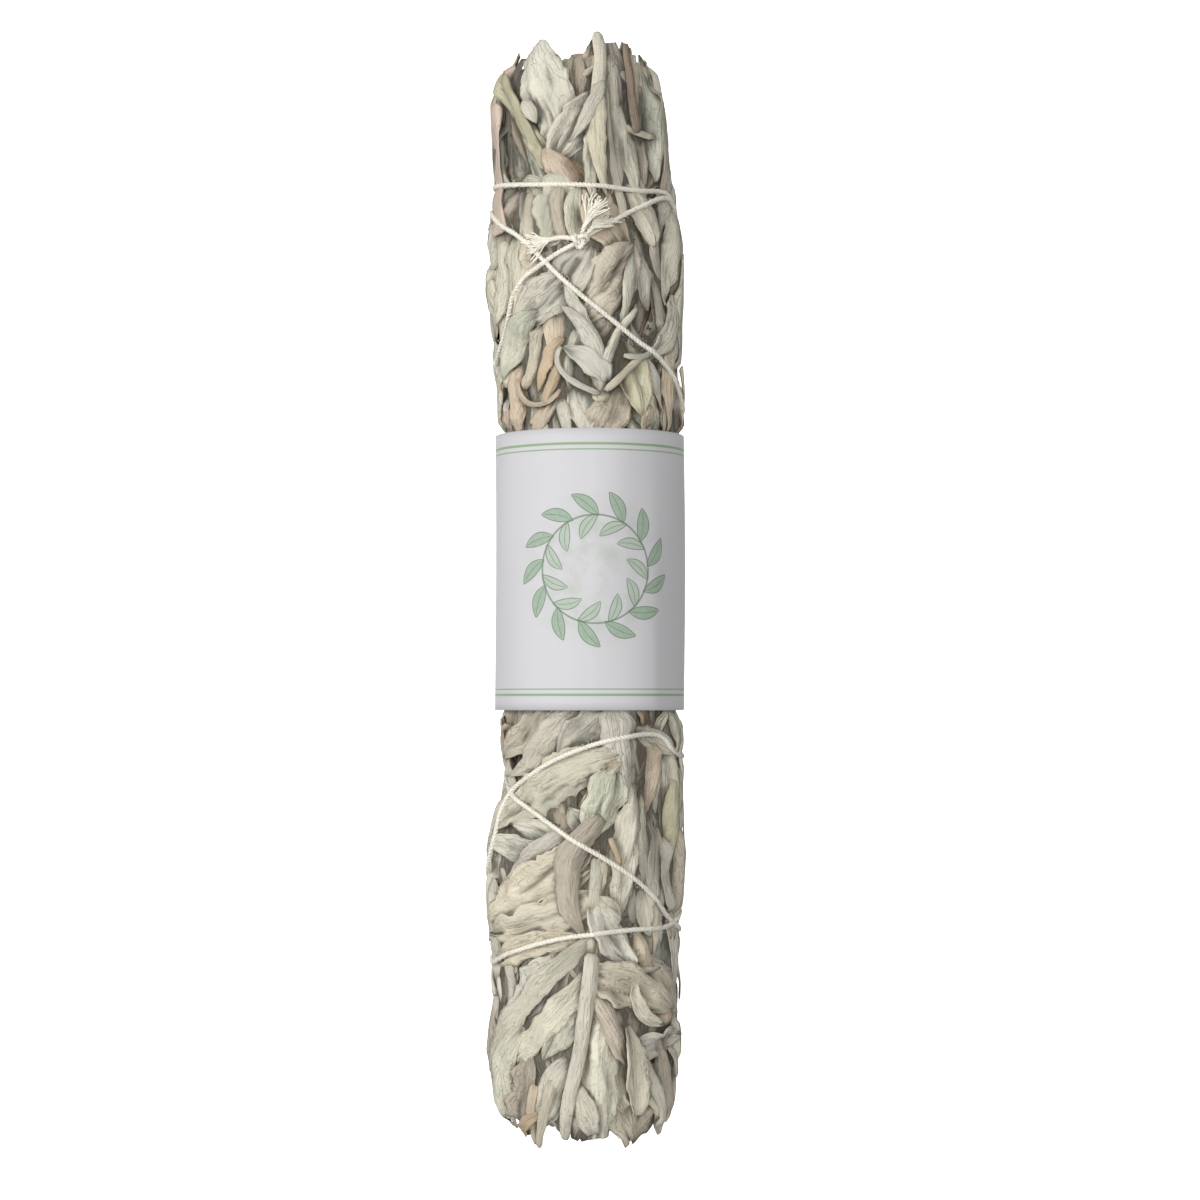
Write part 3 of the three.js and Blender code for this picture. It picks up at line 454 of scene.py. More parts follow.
def torn_edge(t, rows):
    """How far one margin departs from a smooth outline: straight nicks between random places."""
    coarse = np.interp(t * rows, np.arange(rows + 1), dice.normal(0, 0.12, rows + 1))
    fine = np.interp(t * 3 * rows, np.arange(3 * rows + 1), dice.normal(0, 0.055, 3 * rows + 1))
    return 1 + coarse + fine


def creases(t, v, length, width):
    """The sharp folds of a dried leaf: long ones along it and finer ones between them."""
    total = np.zeros((t.shape[0], v.shape[1]))
    for step_along, step_across, size in CREASES:
        rows, cols = int(length / step_along) + 1, int(width / step_across) + 2
        a, b = t * rows + 0 * v, (v + 1) / 2 * cols + 0.9 * t
        way = 1 if dice.random() < 0.6 else -1
        total += way * size * (0.7 - np.abs(soft_noise(rows, cols, a, b)))
    return total


print(len(CREASES), "kinds of crease")

# %% Lay a leaf
LEAF_THICKNESS = 0.34

# Steps between the points of hidden and of visible leaves, along and across, and between tears
COARSE_STEPS, FINE_STEPS = (1.8, 2.6), (0.9, 1.7)
TEAR_STEP = 2.4

# How much of its length a leaf is tucked in by, and no further along than TUCK_END
TUCK, TUCK_END = 0.16, 107.5
BASE_DIP = 1.9
CUT_FROM = 101.0
MOST_BEND = 7
laid = {}


def lay(share, points, width, form, colour, lift=0.0, coarse=False, limp=0.3):
    """Lays a leaf or stalk through unrolled points, and keeps it for its share's mesh.

    Its base is tucked in, and a leaf whose tip lies past CUT_FROM was cut with the end of the bunch. The
    lift raises it as a whole, and limp says how far its margins and ends sink onto what is under them.
    """
    if form == "stalk":
        lay_bar(share, points, width, colour, lift)
        return
    tucked = np.array(points[0]) - TUCK * (np.array(points[1]) - np.array(points[0]))
    tucked[1] = np.clip(tucked[1], -TUCK_END, TUCK_END)
    points = [tuple(tucked), *points[1:]]
    length = math.dist(points[0], points[-1])
    step_along, step_across = COARSE_STEPS if coarse else FINE_STEPS
    n, m = max(9, int(length / step_along)), 2 * int(width / step_across) + 5
    line, direction, length = curve_through(points, n, dice.normal(0, 0.06))
    t = np.linspace(0, 1, n)[:, None]
    v = np.linspace(-1, 1, m)[None, :]
    rows = int(length / TEAR_STEP) + 1
    outline = margin(t, form, abs(points[-1][1]) > CUT_FROM)
    half = width / 2 * outline * np.where(v < 0, torn_edge(t, rows), torn_edge(t, rows))
    u = line[:, 0][:, None] + v * half * direction[:, 1][:, None]
    s = line[:, 1][:, None] - v * half * direction[:, 0][:, None]
    # It rests on the pile, but is too stiff to follow each hollow along it
    bed = bed_under(u, s)
    stiff = np.stack([np.roll(bed, k, axis=0) for k in range(-3, 4)])
    stiff[:, :3], stiff[:, -3:] = bed[:3], bed[-3:]
    bed = np.maximum(bed - 0.3, stiff.mean(axis=0)) - 0.2 + lift
    # Its form and its creases bend it, and its limp margins and ends hang down
    bend = min(width, MOST_BEND)
    straight_under = between(pile, *cells(u, s)) + 0.05
    near_ends = np.clip(np.abs(t - 0.5) * 2 - 0.75, 0, 0.25) * 4
    hang = np.maximum(np.abs(v) ** 4 * limp, near_ends * limp)
    if form == "ridge":
        bed = bed + 0.34 * bend * (1 - np.abs(v) ** 1.2) * outline
    elif form == "gutter":
        bed = bed + 0.22 * bend * np.abs(v) ** 1.6
        hang = hang * 0.2
    else:
        curl = np.where(v < 0, dice.uniform(-0.04, 0.24), dice.uniform(-0.04, 0.24))
        bed = bed + bend * (0.06 * (1 - v**2) + curl * np.abs(v) ** 4)
        bed = bed - 0.2 * np.exp(-((v / 0.1) ** 2)) * min(1, width / 6)
    bed = bed + bend * creases(t, v, length, width)
    bed = bed * (1 - hang) + np.minimum(bed, straight_under) * hang
    # Its base dips in between its neighbours
    bed = bed - BASE_DIP * np.clip(1 - t / 0.34, 0, 1) ** 1.5
    raise_pile(u, s, bed + LEAF_THICKNESS)
    blotch = soft_noise(rows, 3, t * rows + 0 * v, (v + 1) * 1.5 + 0 * t)[:, :, None]
    tint = (1 + 0.045 * blotch) * colour_of(colour) * (1 - 0.1 * (1 - t) ** 2)[:, :, None]
    sheet = {"u": u, "s": s, "low": bed, "high": bed + LEAF_THICKNESS, "tint": tint}
    sheet["along"] = np.ones((n, m)) * t * length
    sheet["across"] = np.ones((n, m)) * v
    laid.setdefault(share, []).append(sheet)


print("leaves are", LEAF_THICKNESS, "mm thick")

# %% Lay a stalk
STALK_SIDES = 14
STALK_STEP = 0.8
# How high the pile rises across a stalk, as shares of half its width
STALK_PROFILE = np.array([[0.3, 0.75, 0.85, 0.75, 0.3]])


def lay_bar(share, points, width, colour, lift):
    """Lays a stalk: a bar of rounded square section along unrolled points, thinner at its ends."""
    n = max(10, int(math.dist(points[0], points[-1]) / STALK_STEP))
    line, direction, length = curve_through(points, n, dice.normal(0, 0.03))
    t = np.linspace(0, 1, n)[:, None]
    turn = np.linspace(0, 2 * math.pi, STALK_SIDES, endpoint=False)[None, :]
    squared = 1 + 0.08 * np.cos(4 * turn + t * length / 9)
    knots = int(length / 4) + 2
    uneven = 1 + 0.09 * soft_noise(knots, 6, t * knots + 0 * turn, turn * 0.9 + 0 * t)
    ends = np.minimum(1, 0.62 + 0.38 * np.minimum(t, 1 - t) * length / 0.8)
    radius = width / 2 * margin(t, "stalk") * squared * uneven * ends
    side, up = radius * np.sin(turn), radius * np.cos(turn) * 0.85
    u = line[:, 0][:, None] + side * direction[:, 1][:, None]
    s = line[:, 1][:, None] - side * direction[:, 0][:, None]
    # It spans hollows, and its end dips in
    bed = bed_under(line[:, 0][:, None], line[:, 1][:, None])
    sag = np.convolve(np.pad(bed[:, 0], 4, mode="edge"), np.ones(9) / 9, mode="valid")[:, None]
    middle = np.maximum(sag, bed - 0.4) + 0.06 * width + lift - 0.5 * np.clip(1 - t * length / 3, 0, 1)
    flat = np.linspace(-1, 1, STALK_PROFILE.shape[1])[None, :] * width / 2
    flat_u = line[:, 0][:, None] + flat * direction[:, 1][:, None]
    flat_s = line[:, 1][:, None] - flat * direction[:, 0][:, None]
    raise_pile(flat_u, flat_s, middle + width / 2 * STALK_PROFILE)
    blotch = soft_noise(knots, 2, t * knots + 0 * turn, turn * 0.3 + 0 * t)[:, :, None]
    tint = (1 + 0.05 * blotch) * colour_of(colour)
    bar = {"u": u, "s": s, "bar": middle + up, "tint": tint}
    bar["along"] = np.ones((n, STALK_SIDES)) * t * length
    bar["across"] = np.sin(turn) * 0.9 + np.zeros((n, STALK_SIDES))
    laid.setdefault(share, []).append(bar)


print("stalks have", STALK_SIDES, "sides")

# %% [markdown]
# ## Lay the whole bunch
# A bunch is a dozen leafy stems laid together, so its leaves run along it, some up and some down. First
# come under-layers laid by rule all round, whose edges show in the gaps; then the leaves on the sides
# and the back; and last the ones on the front. The rule steps round and along the surface by two
# shares that never repeat, which spreads leaves more evenly than pure chance. Each goes to the stem
# whose share of the bunch it is in.

# %% Ways of laying
# Each stem's share of the surface, between two angles in degrees; the two on the front have the rest
SHARES = [
    ("leafy_stem_right", 34, 94),
    ("leafy_stem_right_under", 94, 156),
    ("leafy_stem_under", 156, 218),
    ("leafy_stem_left_under", 218, 280),
]

# Forms and colours for leaves laid by rule; what is named more often comes more often
BACK_FORMS = ["flat", "ridge", "ridge", "flat", "gutter", "stalk"]
MIXED = ["pale", "pale", "cream", "cream", "grey", "white"]
MIXED += ["green", "beige", "taupe", "grey", "pale", "pink"]

# The shares of the way round and along by which each leaf lies on from the last
STEP_ROUND, STEP_ALONG = 0.7548777, 0.5698403

# How far from the bunch's middle the middles and the tips of leaves may lie, the length of the shortest
# leaf, and how far under the paper a leaf's middle may lie
LAID_TO = 103.0
TIPS_END = (103.5, 107.5)
SHORTEST = 8.0
HIDDEN = 9.0


def share_at(u, s):
    """The name of the stem that a place on the surface belongs to."""
    degrees = math.degrees(u / UNROLL_RADIUS) % 360
    for name, low, high in SHARES:
        if low <= degrees < high:
            return name
    return "leafy_stem_front_upper" if s > 0 else "leafy_stem_front_lower"


def lay_by_rule(count, first, lengths, widths, slants, forms, around=(0, 360), coarse=False):
    """Lays leaves at places spread evenly over the surface, each with its own slant and size.

    Slants is their usual slant in degrees, and around the angles between which they lie. Places well
    under the paper are left out.
    """
    for k in range(first, first + count):
        degrees = around[0] + (around[1] - around[0]) * ((STEP_ROUND * k) % 1)
        middle = -LAID_TO + 2 * LAID_TO * ((STEP_ALONG * k) % 1)
        if SLEEVE_LOW + HIDDEN < middle < SLEEVE_HIGH - HIDDEN:
            continue
        length, width = dice.uniform(*lengths), dice.uniform(*widths)
        slant = math.radians(dice.normal(0, slants))
        way = 1 if dice.random() < 0.5 else -1
        centre = math.radians(degrees) * UNROLL_RADIUS
        du, ds = math.sin(slant) * length / 2, way * math.cos(slant) * length / 2
        ends = [(centre - du, middle - ds), (centre + du, middle + ds)]
        limit = dice.uniform(*TIPS_END)
        ends = [(u, max(-limit, min(limit, s))) for u, s in ends]
        if math.dist(*ends) < SHORTEST:
            continue
        form = forms[int(dice.integers(len(forms)))]
        colour = MIXED[int(dice.integers(len(MIXED)))]
        lay(share_at(centre, middle), ends, width, form, colour, coarse=coarse, limp=0.7)


def lay_listed(share, table, lift=0.0):
    """Lays the leaves of a table that was read off the photograph."""
    for x0, y0, x1, y1, width, form, colour in table:
        lay(share, [seen(x0, y0), seen(x1, y1)], width, form, colour, lift=lift)


def lay_bent(share, table, lift):
    """Lays the bent stems and leaves of a table that was read off the photograph."""
    for points, width, form, colour in table:
        lay(share, [seen(*point) for point in points], width, form, colour, lift=lift)


print(len(SHARES) + 2, "stems share the surface")

# %% Lay all leaves
# By rule: how many, their first number, lengths, widths, slants, forms and the angles between which they lie
lay_by_rule(120, 1, (26, 48), (7, 12), 12, ["flat", "flat", "gutter", "ridge"], coarse=True)
lay_by_rule(110, 1000, (18, 34), (3.5, 8), 16, ["flat", "ridge", "flat", "gutter"])
lay_by_rule(150, 2000, (16, 36), (2.6, 8), 17, BACK_FORMS, (68, 286))
lay_by_rule(60, 3000, (12, 26), (1.2, 2.4), 20, ["stalk"], (60, 290))
lay_by_rule(130, 4000, (9, 24), (1.5, 4.5), 16, ["ridge", "ridge", "flat", "gutter", "stalk"], (-84, 84))
lay_listed("leafy_stem_right", RIGHT)
lay_bent("leafy_stem_front_lower", BENT_LOWER, -0.5)
lay_listed("leafy_stem_front_lower", LOWER)
lay_bent("leafy_stem_front_lower", OVER_LOWER, -0.6)
lay_listed("leafy_stem_front_upper", UPPER)
lay_bent("leafy_stem_front_upper", BENT_UPPER, -0.2)
lay_listed("leafy_stem_front_upper", OVER_UPPER)
lay_bent("leafy_stem_front_upper", SIDE_STEM, 0.5)
lay_listed("tucked_shoot", SHOOT, lift=0.2)
lay_bent("tucked_shoot", BENT_SHOOT, 0.2)
lay_listed("dry_twig", TWIG, lift=0.9)
print("laid", {name: len(sheets) for name, sheets in laid.items()})

# %% [markdown]
# ## The twine's route
# The twine is tied on the front, goes down the bunch and comes back, crossing itself, and passes under the
# sleeve. Its places are listed, because a real binding follows no rule: on the front as the
# photograph shows them, and elsewhere by degrees round the bunch and millimetres along it.

# %% The twine's route
ROUTE = [
    (seen, [(-1.2, 70), (3, 72.6), (10.8, 76.6), (16.6, 78.6)]),
    (at_angle, [(92, 75), (135, 75), (180, 77), (230, 78), (268, 78.4)]),
    (seen, [(-19, 80.4), (-8, 81.2), (3, 81), (11, 80.2), (16.9, 79.2)]),
    (at_angle, [(92, 73), (135, 71), (180, 70), (230, 71.5), (268, 73.6)]),
    (seen, [(-19.4, 75.6), (-14.6, 71.4), (-9.2, 66), (0.8, 57.6), (10.8, 49.6), (16.5, 44.4)]),
    (at_angle, [(92, 34), (135, 24), (180, 14), (230, 6), (280, -1), (330, -7), (20, -13)]),
    (at_angle, [(70, -19), (120, -24), (170, -29), (220, -33), (262, -37)]),
    (seen, [(-16.4, -40.4), (-9.2, -46.4), (0.8, -52.4), (10.8, -58.6), (17.2, -65.4)]),
    (at_angle, [(92, -68), (135, -69.6), (180, -71), (230, -72.6), (265, -73.6)]),
    (seen, [(-18.6, -74.4), (-9.2, -70.8), (0.8, -69.2), (10.8, -68.2), (17.4, -67.4)]),
    (at_angle, [(92, -64.4), (135, -62), (180, -60.4), (230, -59), (268, -57)]),
    (seen, [(-19, -52.4), (-16.2, -41.6), (-11.2, -37), (-3.2, -33)]),
    (seen, [(6.8, -30), (14.8, -29.4), (17.6, -33)]),
    (at_angle, [(98, -33), (135, -29), (180, -23), (230, -14), (280, -6), (330, 1), (20, 7)]),
    (at_angle, [(70, 13), (120, 19), (170, 26), (220, 34), (262, 42)]),
    (seen, [(-18, 48.6), (-14.2, 59.6), (-8.2, 66.6), (-1.2, 70)]),
]
BACKSTEP = 12


def unwound(places):
    """The places with their angles growing turn after turn, where a step far back means a new turn."""
    circle = 2 * math.pi * UNROLL_RADIUS
    line, last = [], places[0][0]
    for u, s in places:
        while u < last - BACKSTEP:
            u += circle
        last = u
        line.append((u, s))
    return np.array(line)


def smooth_line(knots, per_gap):
    """Points on a Catmull-Rom line through the knots."""
    padded = np.concatenate([knots[:1], knots, knots[-1:]])
    t = np.linspace(0, 1, per_gap, endpoint=False)[:, None]
    pieces = []
    for k in range(len(knots) - 1):
        a, b, c, d = padded[k : k + 4]
        square, cube = 2 * a - 5 * b + 4 * c - d, 3 * b - a - 3 * c + d
        pieces.append(0.5 * (2 * b + (c - a) * t + square * t**2 + cube * t**3))
    return np.concatenate([*pieces, knots[-1:]])


route = smooth_line(unwound([place(*pair) for place, pairs in ROUTE for pair in pairs]), 24)
print("twine route with", len(route), "points")

# %% [markdown]
# The twine presses the leaves in, so the cells that it passes over are marked, with soft edges.

# %% Where the twine presses
pressed = np.zeros_like(pile)
pressed_i, pressed_j = cells(route[:, 0], route[:, 1])
pressed[np.round(pressed_i).astype(int) % ROUND_CELLS, np.round(pressed_j).astype(int)] = 1
pressed = spread(spread(pressed, "highest", 1), "mean", 3)
pressed = pressed / pressed.max()
print(int((pressed > 0.5).sum()), "cells under the twine")

# %% [markdown]
# ## From the unrolled sheet to the round bunch
# A pile grows where many leaves cross, but twine and pressing keep a real bunch round. So the pile is
# levelled: only the difference from its mean height over a few millimetres counts, and it is kept within
# 1.7 mm on top and 1 mm below. It is added to the outer radius. Light hardly reaches between real
# leaves, so a leaf is also tinted darker where its surroundings are higher.

# %% Level the pile
LEVEL_WIDTH = 5.0
waves_round = np.fft.fftfreq(ROUND_CELLS, CELL_ROUND)[:, None]
waves_along = np.fft.rfftfreq(ALONG_CELLS, CELL_ALONG)[None, :]
blur = np.exp(-2 * (math.pi * LEVEL_WIDTH) ** 2 * (waves_round**2 + waves_along**2))
level = np.fft.irfft2(np.fft.rfft2(pile) * blur, s=pile.shape)
narrow = spread(pile, "mean", 3)
print("the pile is", round(float(pile.max()), 1), "mm high, its mean level", round(float(level.mean()), 1))

# %% Radii and shades
# How far the level lies under the outer radius, how deep the twine presses, and the largest radius under
# the sleeve, which grows by the slope for each mm beyond its edges
SKIN_DEPTH = 0.8
TWINE_PRESS = 0.7
UNDER_SLEEVE = 17.0
SLEEVE_SLOPE = 0.9


def past_sleeve(s):
    """How far places lie beyond the sleeve's edges, below 0 under it."""
    return np.maximum(s - SLEEVE_HIGH, SLEEVE_LOW - s)


def radius_at(u, s, h):
    """The distance from the axis of a point at a height in the pile."""
    i, j = cells(u, s)
    relief = RELIEF * (0.55 + 0.45 * np.clip((np.cos(u / UNROLL_RADIUS) - 0.15) / 0.5, 0, 1))
    rise = relief * np.tanh((h - between(level, i, j) - 0.3) / relief)
    radius = outer_radius(u / UNROLL_RADIUS, s) + rise - SKIN_DEPTH - TWINE_PRESS * between(pressed, i, j)
    out_of_sleeve = SLEEVE_SLOPE * np.maximum(past_sleeve(s) - 0.6, 0)
    return np.minimum(radius, UNDER_SLEEVE + np.sin(u / UNROLL_RADIUS) + out_of_sleeve)


def shade_at(u, s, h):
    """How much light reaches a place at a height in the pile: less where its surroundings are higher."""
    i, j = cells(u, s)
    near = np.clip((between(narrow, i, j) - h - 0.5) / 0.9, 0, 1)
    wide = np.clip((between(level, i, j) - h - 0.5) / 3.0, 0, 1)
    return (1 - 0.62 * near) * (1 - 0.4 * wide)


def rolled(u, s, radius, lowest=0.03):
    """Points of the rolled bunch in metres, none of them under the surface that it lies on."""
    angle = u / UNROLL_RADIUS
    x = radius * np.sin(angle) + CENTRING[0]
    z = np.maximum(AXIS_HEIGHT + radius * np.cos(angle), lowest)
    return np.stack([x, s + CENTRING[1], z], axis=-1) * MM


print("on top of the bunch, 50 mm up, the level is at", np.round(rolled(0, 50, outer_radius(0, 50)), 4))

# %% [markdown]
# Hundreds of leaves as hundreds of objects would be slow and would have to be joined. A heap collects
# their points and faces, and becomes one mesh. It also keeps, at each point, the leaf's colour with its
# painted shade, and the place on the leaf, which the material reads to draw ribs and veins.

# %% Heaps of leaves
# Each sheet's own number, which sets its pattern apart; a bar's is below 0, so that it gets no veins
NUMBER_STEP = 7.3


def closed_off(grid):
    """The rows of a bar with the first and last drawn together, which closes its ends."""
    ends = [row + 0.98 * (row.mean(axis=1, keepdims=True) - row) for row in (grid[:1], grid[-1:])]
    return np.concatenate([ends[0], grid, ends[1]])


class Heap:
    """Collects sheets of points into one mesh with a tint and a place on the leaf at every point."""

    def __init__(self):
        self.points, self.quads, self.tints, self.places, self.count = [], [], [], [], 0

    def add(self, grids, tint, along, across, closed):
        """Adds a bar whose rows close on themselves, or else two sheets that share their margins."""
        if closed:
            grids = [closed_off(grid) for grid in grids]
            tint, along, across = [np.concatenate([a[:1], a, a[-1:]]) for a in (tint, along, across)]
        n, m = grids[0].shape[:2]
        number = NUMBER_STEP * (1 + len(self.points))
        own = np.full(n * m, -number if closed else number)
        base = self.count + np.arange(n * m).reshape(n, m)
        if closed:
            base = np.concatenate([base, base[:, :1]], axis=1)
        corners = [base[:-1, :-1], base[:-1, 1:], base[1:, 1:], base[1:, :-1]]
        quads = [np.stack(corners, axis=-1).reshape(-1, 4)]
        if len(grids) == 2:
            other = base + n * m
            under = [other[:-1, :-1], other[1:, :-1], other[1:, 1:], other[:-1, 1:]]
            quads.append(np.stack(under, axis=-1).reshape(-1, 4))
            rim = np.concatenate([base[0, :], base[1:, -1], base[-1, -2::-1], base[-2:0:-1, 0]])
            low = rim + n * m
            quads.append(np.stack([rim, low, np.roll(low, -1), np.roll(rim, -1)], axis=-1))
        self.quads += quads
        for grid in grids:
            self.points.append(grid.reshape(-1, 3))
            self.tints.append(tint.reshape(-1, 3))
            self.places.append(np.stack([across.ravel(), along.ravel(), own], axis=-1))
            self.count += n * m

    def mesh(self, name):
        """The finished object."""
        made = bpy.data.meshes.new(name)
        made.from_pydata(np.concatenate(self.points).tolist(), [], np.concatenate(self.quads).tolist())
        tints = np.concatenate(self.tints)
        colours = np.concatenate([tints, np.ones((len(tints), 1))], axis=1)
        made.attributes.new("tint", "FLOAT_COLOR", "POINT").data.foreach_set("color", colours.ravel())
        on_leaf = made.attributes.new("leaf_place", "FLOAT_VECTOR", "POINT")
        on_leaf.data.foreach_set("vector", np.concatenate(self.places).ravel())
        made.shade_smooth()
        piece = bpy.data.objects.new(name, made)
        bpy.context.collection.objects.link(piece)
        return piece


heaps = {name: Heap() for name in laid}
print(len(heaps), "empty heaps")

# %% Roll the leaves up
for name, sheets in laid.items():
    for sheet in sheets:
        u, s = sheet["u"], sheet["s"]
        if "bar" in sheet:
            grids = [rolled(u, s, radius_at(u, s, sheet["bar"]))]
            shade = shade_at(u, s, sheet["bar"])
        else:
            low = radius_at(u, s, sheet["low"])
            grids = [rolled(u, s, low + LEAF_THICKNESS), rolled(u, s, low, 0.01)]
            shade = shade_at(u, s, sheet["high"])
        tint = sheet["tint"] * shade[:, :, None]
        heaps[name].add(grids, tint, sheet["along"], sheet["across"], "bar" in sheet)
print("points", {name: heap.count for name, heap in heaps.items()})

# %% [markdown]
# ## The packed ends
# Seen from its ends, the bunch is full of cut stems and the edges of folded leaves. The laid leaves are
# only its skin, so the inside is packed with bars and with ribbons that have a bent section, drawn out
# along the bunch for its last three centimetres. They are spread over the cross-section like the seeds
# of a sunflower, each turned by the golden angle from the last, which leaves no gaps and no rows.

# %% Shapes for the ends
# Where the end pieces start and how far they reach along the bunch, and how far from its axis they lie
END_START = 84
END_REACH = 108.2
END_RADIUS = 15.8

# Each piece has so many rows of points, and each fifth one is a cut stem
END_STATIONS = 12
EVERY_STEM = 5
GOLDEN_ANGLE = 2.399963
CUT_WOOD = (180, 158, 126)
reached = np.linspace(0, 1, END_STATIONS)[:, None]


def add_end_stem(share, stations, centre, reach, lean, tint):
    """Adds a cut stem whose last rows have the colour of cut wood."""
    turn = np.linspace(0, 2 * math.pi, 10, endpoint=False)[None, :]
    radius = dice.uniform(0.7, 1.7) * (1 + 0.1 * np.cos(4 * turn))
    inward = 0.8 + 0.14 * reached
    x = radius * np.cos(turn) + centre[0] * inward + lean[0] * reach
    z = radius * np.sin(turn) + centre[1] * inward + lean[1] * reach
    y = stations + 0 * x
    grid = np.stack([x + CENTRING[0], y + CENTRING[1], z + AXIS_HEIGHT], axis=-1) * MM
    tints = np.ones((*x.shape, 3)) * tint
    tints[-1] = linear(CUT_WOOD)
    heaps[share].add([grid], tints, np.zeros(x.shape), np.ones(x.shape) * 0.6, True)


def add_end_leaf(share, stations, centre, reach, lean, tint, angle, end):
    """Adds a ribbon with a bent section, kept within the bunch."""
    half = dice.uniform(1.8, 4.2)
    w = np.linspace(-1, 1, 13)[None, :]
    heading = angle + math.pi / 2 + dice.normal(0, 0.7)
    bend = dice.uniform(0.5, 1.6) * (1 if dice.random() < 0.5 else -1)
    shrink = 1 - 0.35 * reached**3
    side = half * w * shrink
    off = bend * (w**2) * half * 0.45 * shrink + 0.25 * np.sin(3 * w + stations / 3)
    x = centre[0] + side * math.sin(heading) + off * math.cos(heading) + lean[0] * reach
    z = centre[1] + side * math.cos(heading) - off * math.sin(heading) + lean[1] * reach
    room = outer_radius(angle, stations) - 1.7 - 3.4 * (1 - reached)
    fit = np.minimum(1, room / np.maximum(np.sqrt(x**2 + z**2), 1))
    x, z = x * fit, z * fit
    y = stations - end * 1.6 * np.abs(w) ** 2 * reached + 0 * x
    top = np.stack([x + CENTRING[0], y + CENTRING[1], z + AXIS_HEIGHT], axis=-1)
    under = top + 0.4 * np.array([math.cos(heading), 0, -math.sin(heading)])
    along, across = np.ones(x.shape) * np.abs(stations), np.ones(x.shape) * w
    heaps[share].add([top * MM, under * MM], np.ones((*x.shape, 3)) * tint, along, across, False)


print("end pieces start", END_START, "mm from the middle")


# %% Pack the ends
def pack_end(end, count):
    """Fills one end of the bunch with leaf edges and stems at places spread over the cross-section."""
    for k in range(count):
        angle = GOLDEN_ANGLE * k
        depth = END_RADIUS * math.sqrt((k + 0.5) / count)
        centre = np.array([depth * math.sin(angle), depth * math.cos(angle)])
        tip = end * (END_REACH - 0.016 * depth**2 - dice.uniform(0, 5.5))
        stations = np.linspace(end * END_START, tip, END_STATIONS)[:, None]
        share = share_at(angle * UNROLL_RADIUS, end)
        tint = colour_of(MIXED[int(dice.integers(len(MIXED)))]) * dice.uniform(0.75, 1.0)
        lean = dice.normal(0, 0.03, 2)
        reach = stations - end * END_START
        if k % EVERY_STEM == 0:
            add_end_stem(share, stations, centre, reach, lean, tint)
        else:
            add_end_leaf(share, stations, centre, reach, lean, tint, angle, end)


pack_end(1, 150)
pack_end(-1, 150)
print("points with the ends", {name: heap.count for name, heap in heaps.items()})

# %% [markdown]
# Deep inside, a bunch is stems and broken leaves that hardly any light reaches. A darker core stands in
# for them where the gaps between the leaves look in; its colour is that of stems and broken leaves,
# darkened with painted shade.


# %% The core under the leaves
# The core's colour: stems and broken leaves, darkened with painted shade
CORE_COLOUR = (104, 93, 74)
CORE_DEPTH = 2.9
CORE_LARGEST = 16.2


def add_core(name, low, high):
    """Adds the filled middle of the bunch between two places along it."""
    s = np.linspace(low, high, 40)[:, None]
    u = np.linspace(0, 2 * math.pi * UNROLL_RADIUS, 72, endpoint=False)[None, :]
    inset = CORE_DEPTH + 9 * np.clip((np.abs(s) - 90) / 12, 0, 1) ** 2
    radius = outer_radius(u / UNROLL_RADIUS, s) - inset + 0 * u
    grid = rolled(u + 0 * s, s + 0 * u, np.minimum(radius, CORE_LARGEST))
    n, m = grid.shape[:2]
    tint = np.ones((n, m, 3)) * linear(CORE_COLOUR)
    heaps[name].add([grid], tint, np.zeros((n, m)), np.ones((n, m)) * 0.6, True)


add_core("leafy_stem_front_upper", 0, 98)
add_core("leafy_stem_front_lower", -98, 0)
print("core", CORE_DEPTH, "mm under the surface")

# %% [markdown]
# ## Materials
# The finishes are worked out from noise and from the places on the leaves, with no pictures, so that they
# stay sharp at any distance. Dozens of nodes linked by hand would be hard to read. A small class wraps a
# socket instead, and the usual signs build Math nodes.


# %% Shader maths
class Tree:
    """A node tree that is built by plain calls."""

    def node(self, kind, settings=None, inputs=None):
        """Adds a node. Inputs are numbers, colours, sockets or Values, by name or by order."""
        made = self.tree.nodes.new(kind)
        for key, value in (settings or {}).items():
            setattr(made, key, value)
        pairs = inputs.items() if isinstance(inputs, dict) else enumerate(inputs or [])
        for key, value in pairs:
            self.put(made.inputs[key], value)
        return made

    def put(self, socket, value):
        """Connects a socket or Value, or sets a constant."""
        if isinstance(value, Value):
            value = value.socket
        if isinstance(value, bpy.types.NodeSocket):
            self.tree.links.new(value, socket)
        else:
            socket.default_value = value

    def math(self, operation, *numbers):
        """The result of one Math node."""
        return self.node("ShaderNodeMath", {"operation": operation}, numbers).outputs[0]

    def vector(self, operation, *vectors, **named):
        """The result of one Vector Math node."""
        inputs = {**dict(enumerate(vectors)), **named}
        return self.node("ShaderNodeVectorMath", {"operation": operation}, inputs).outputs[0]


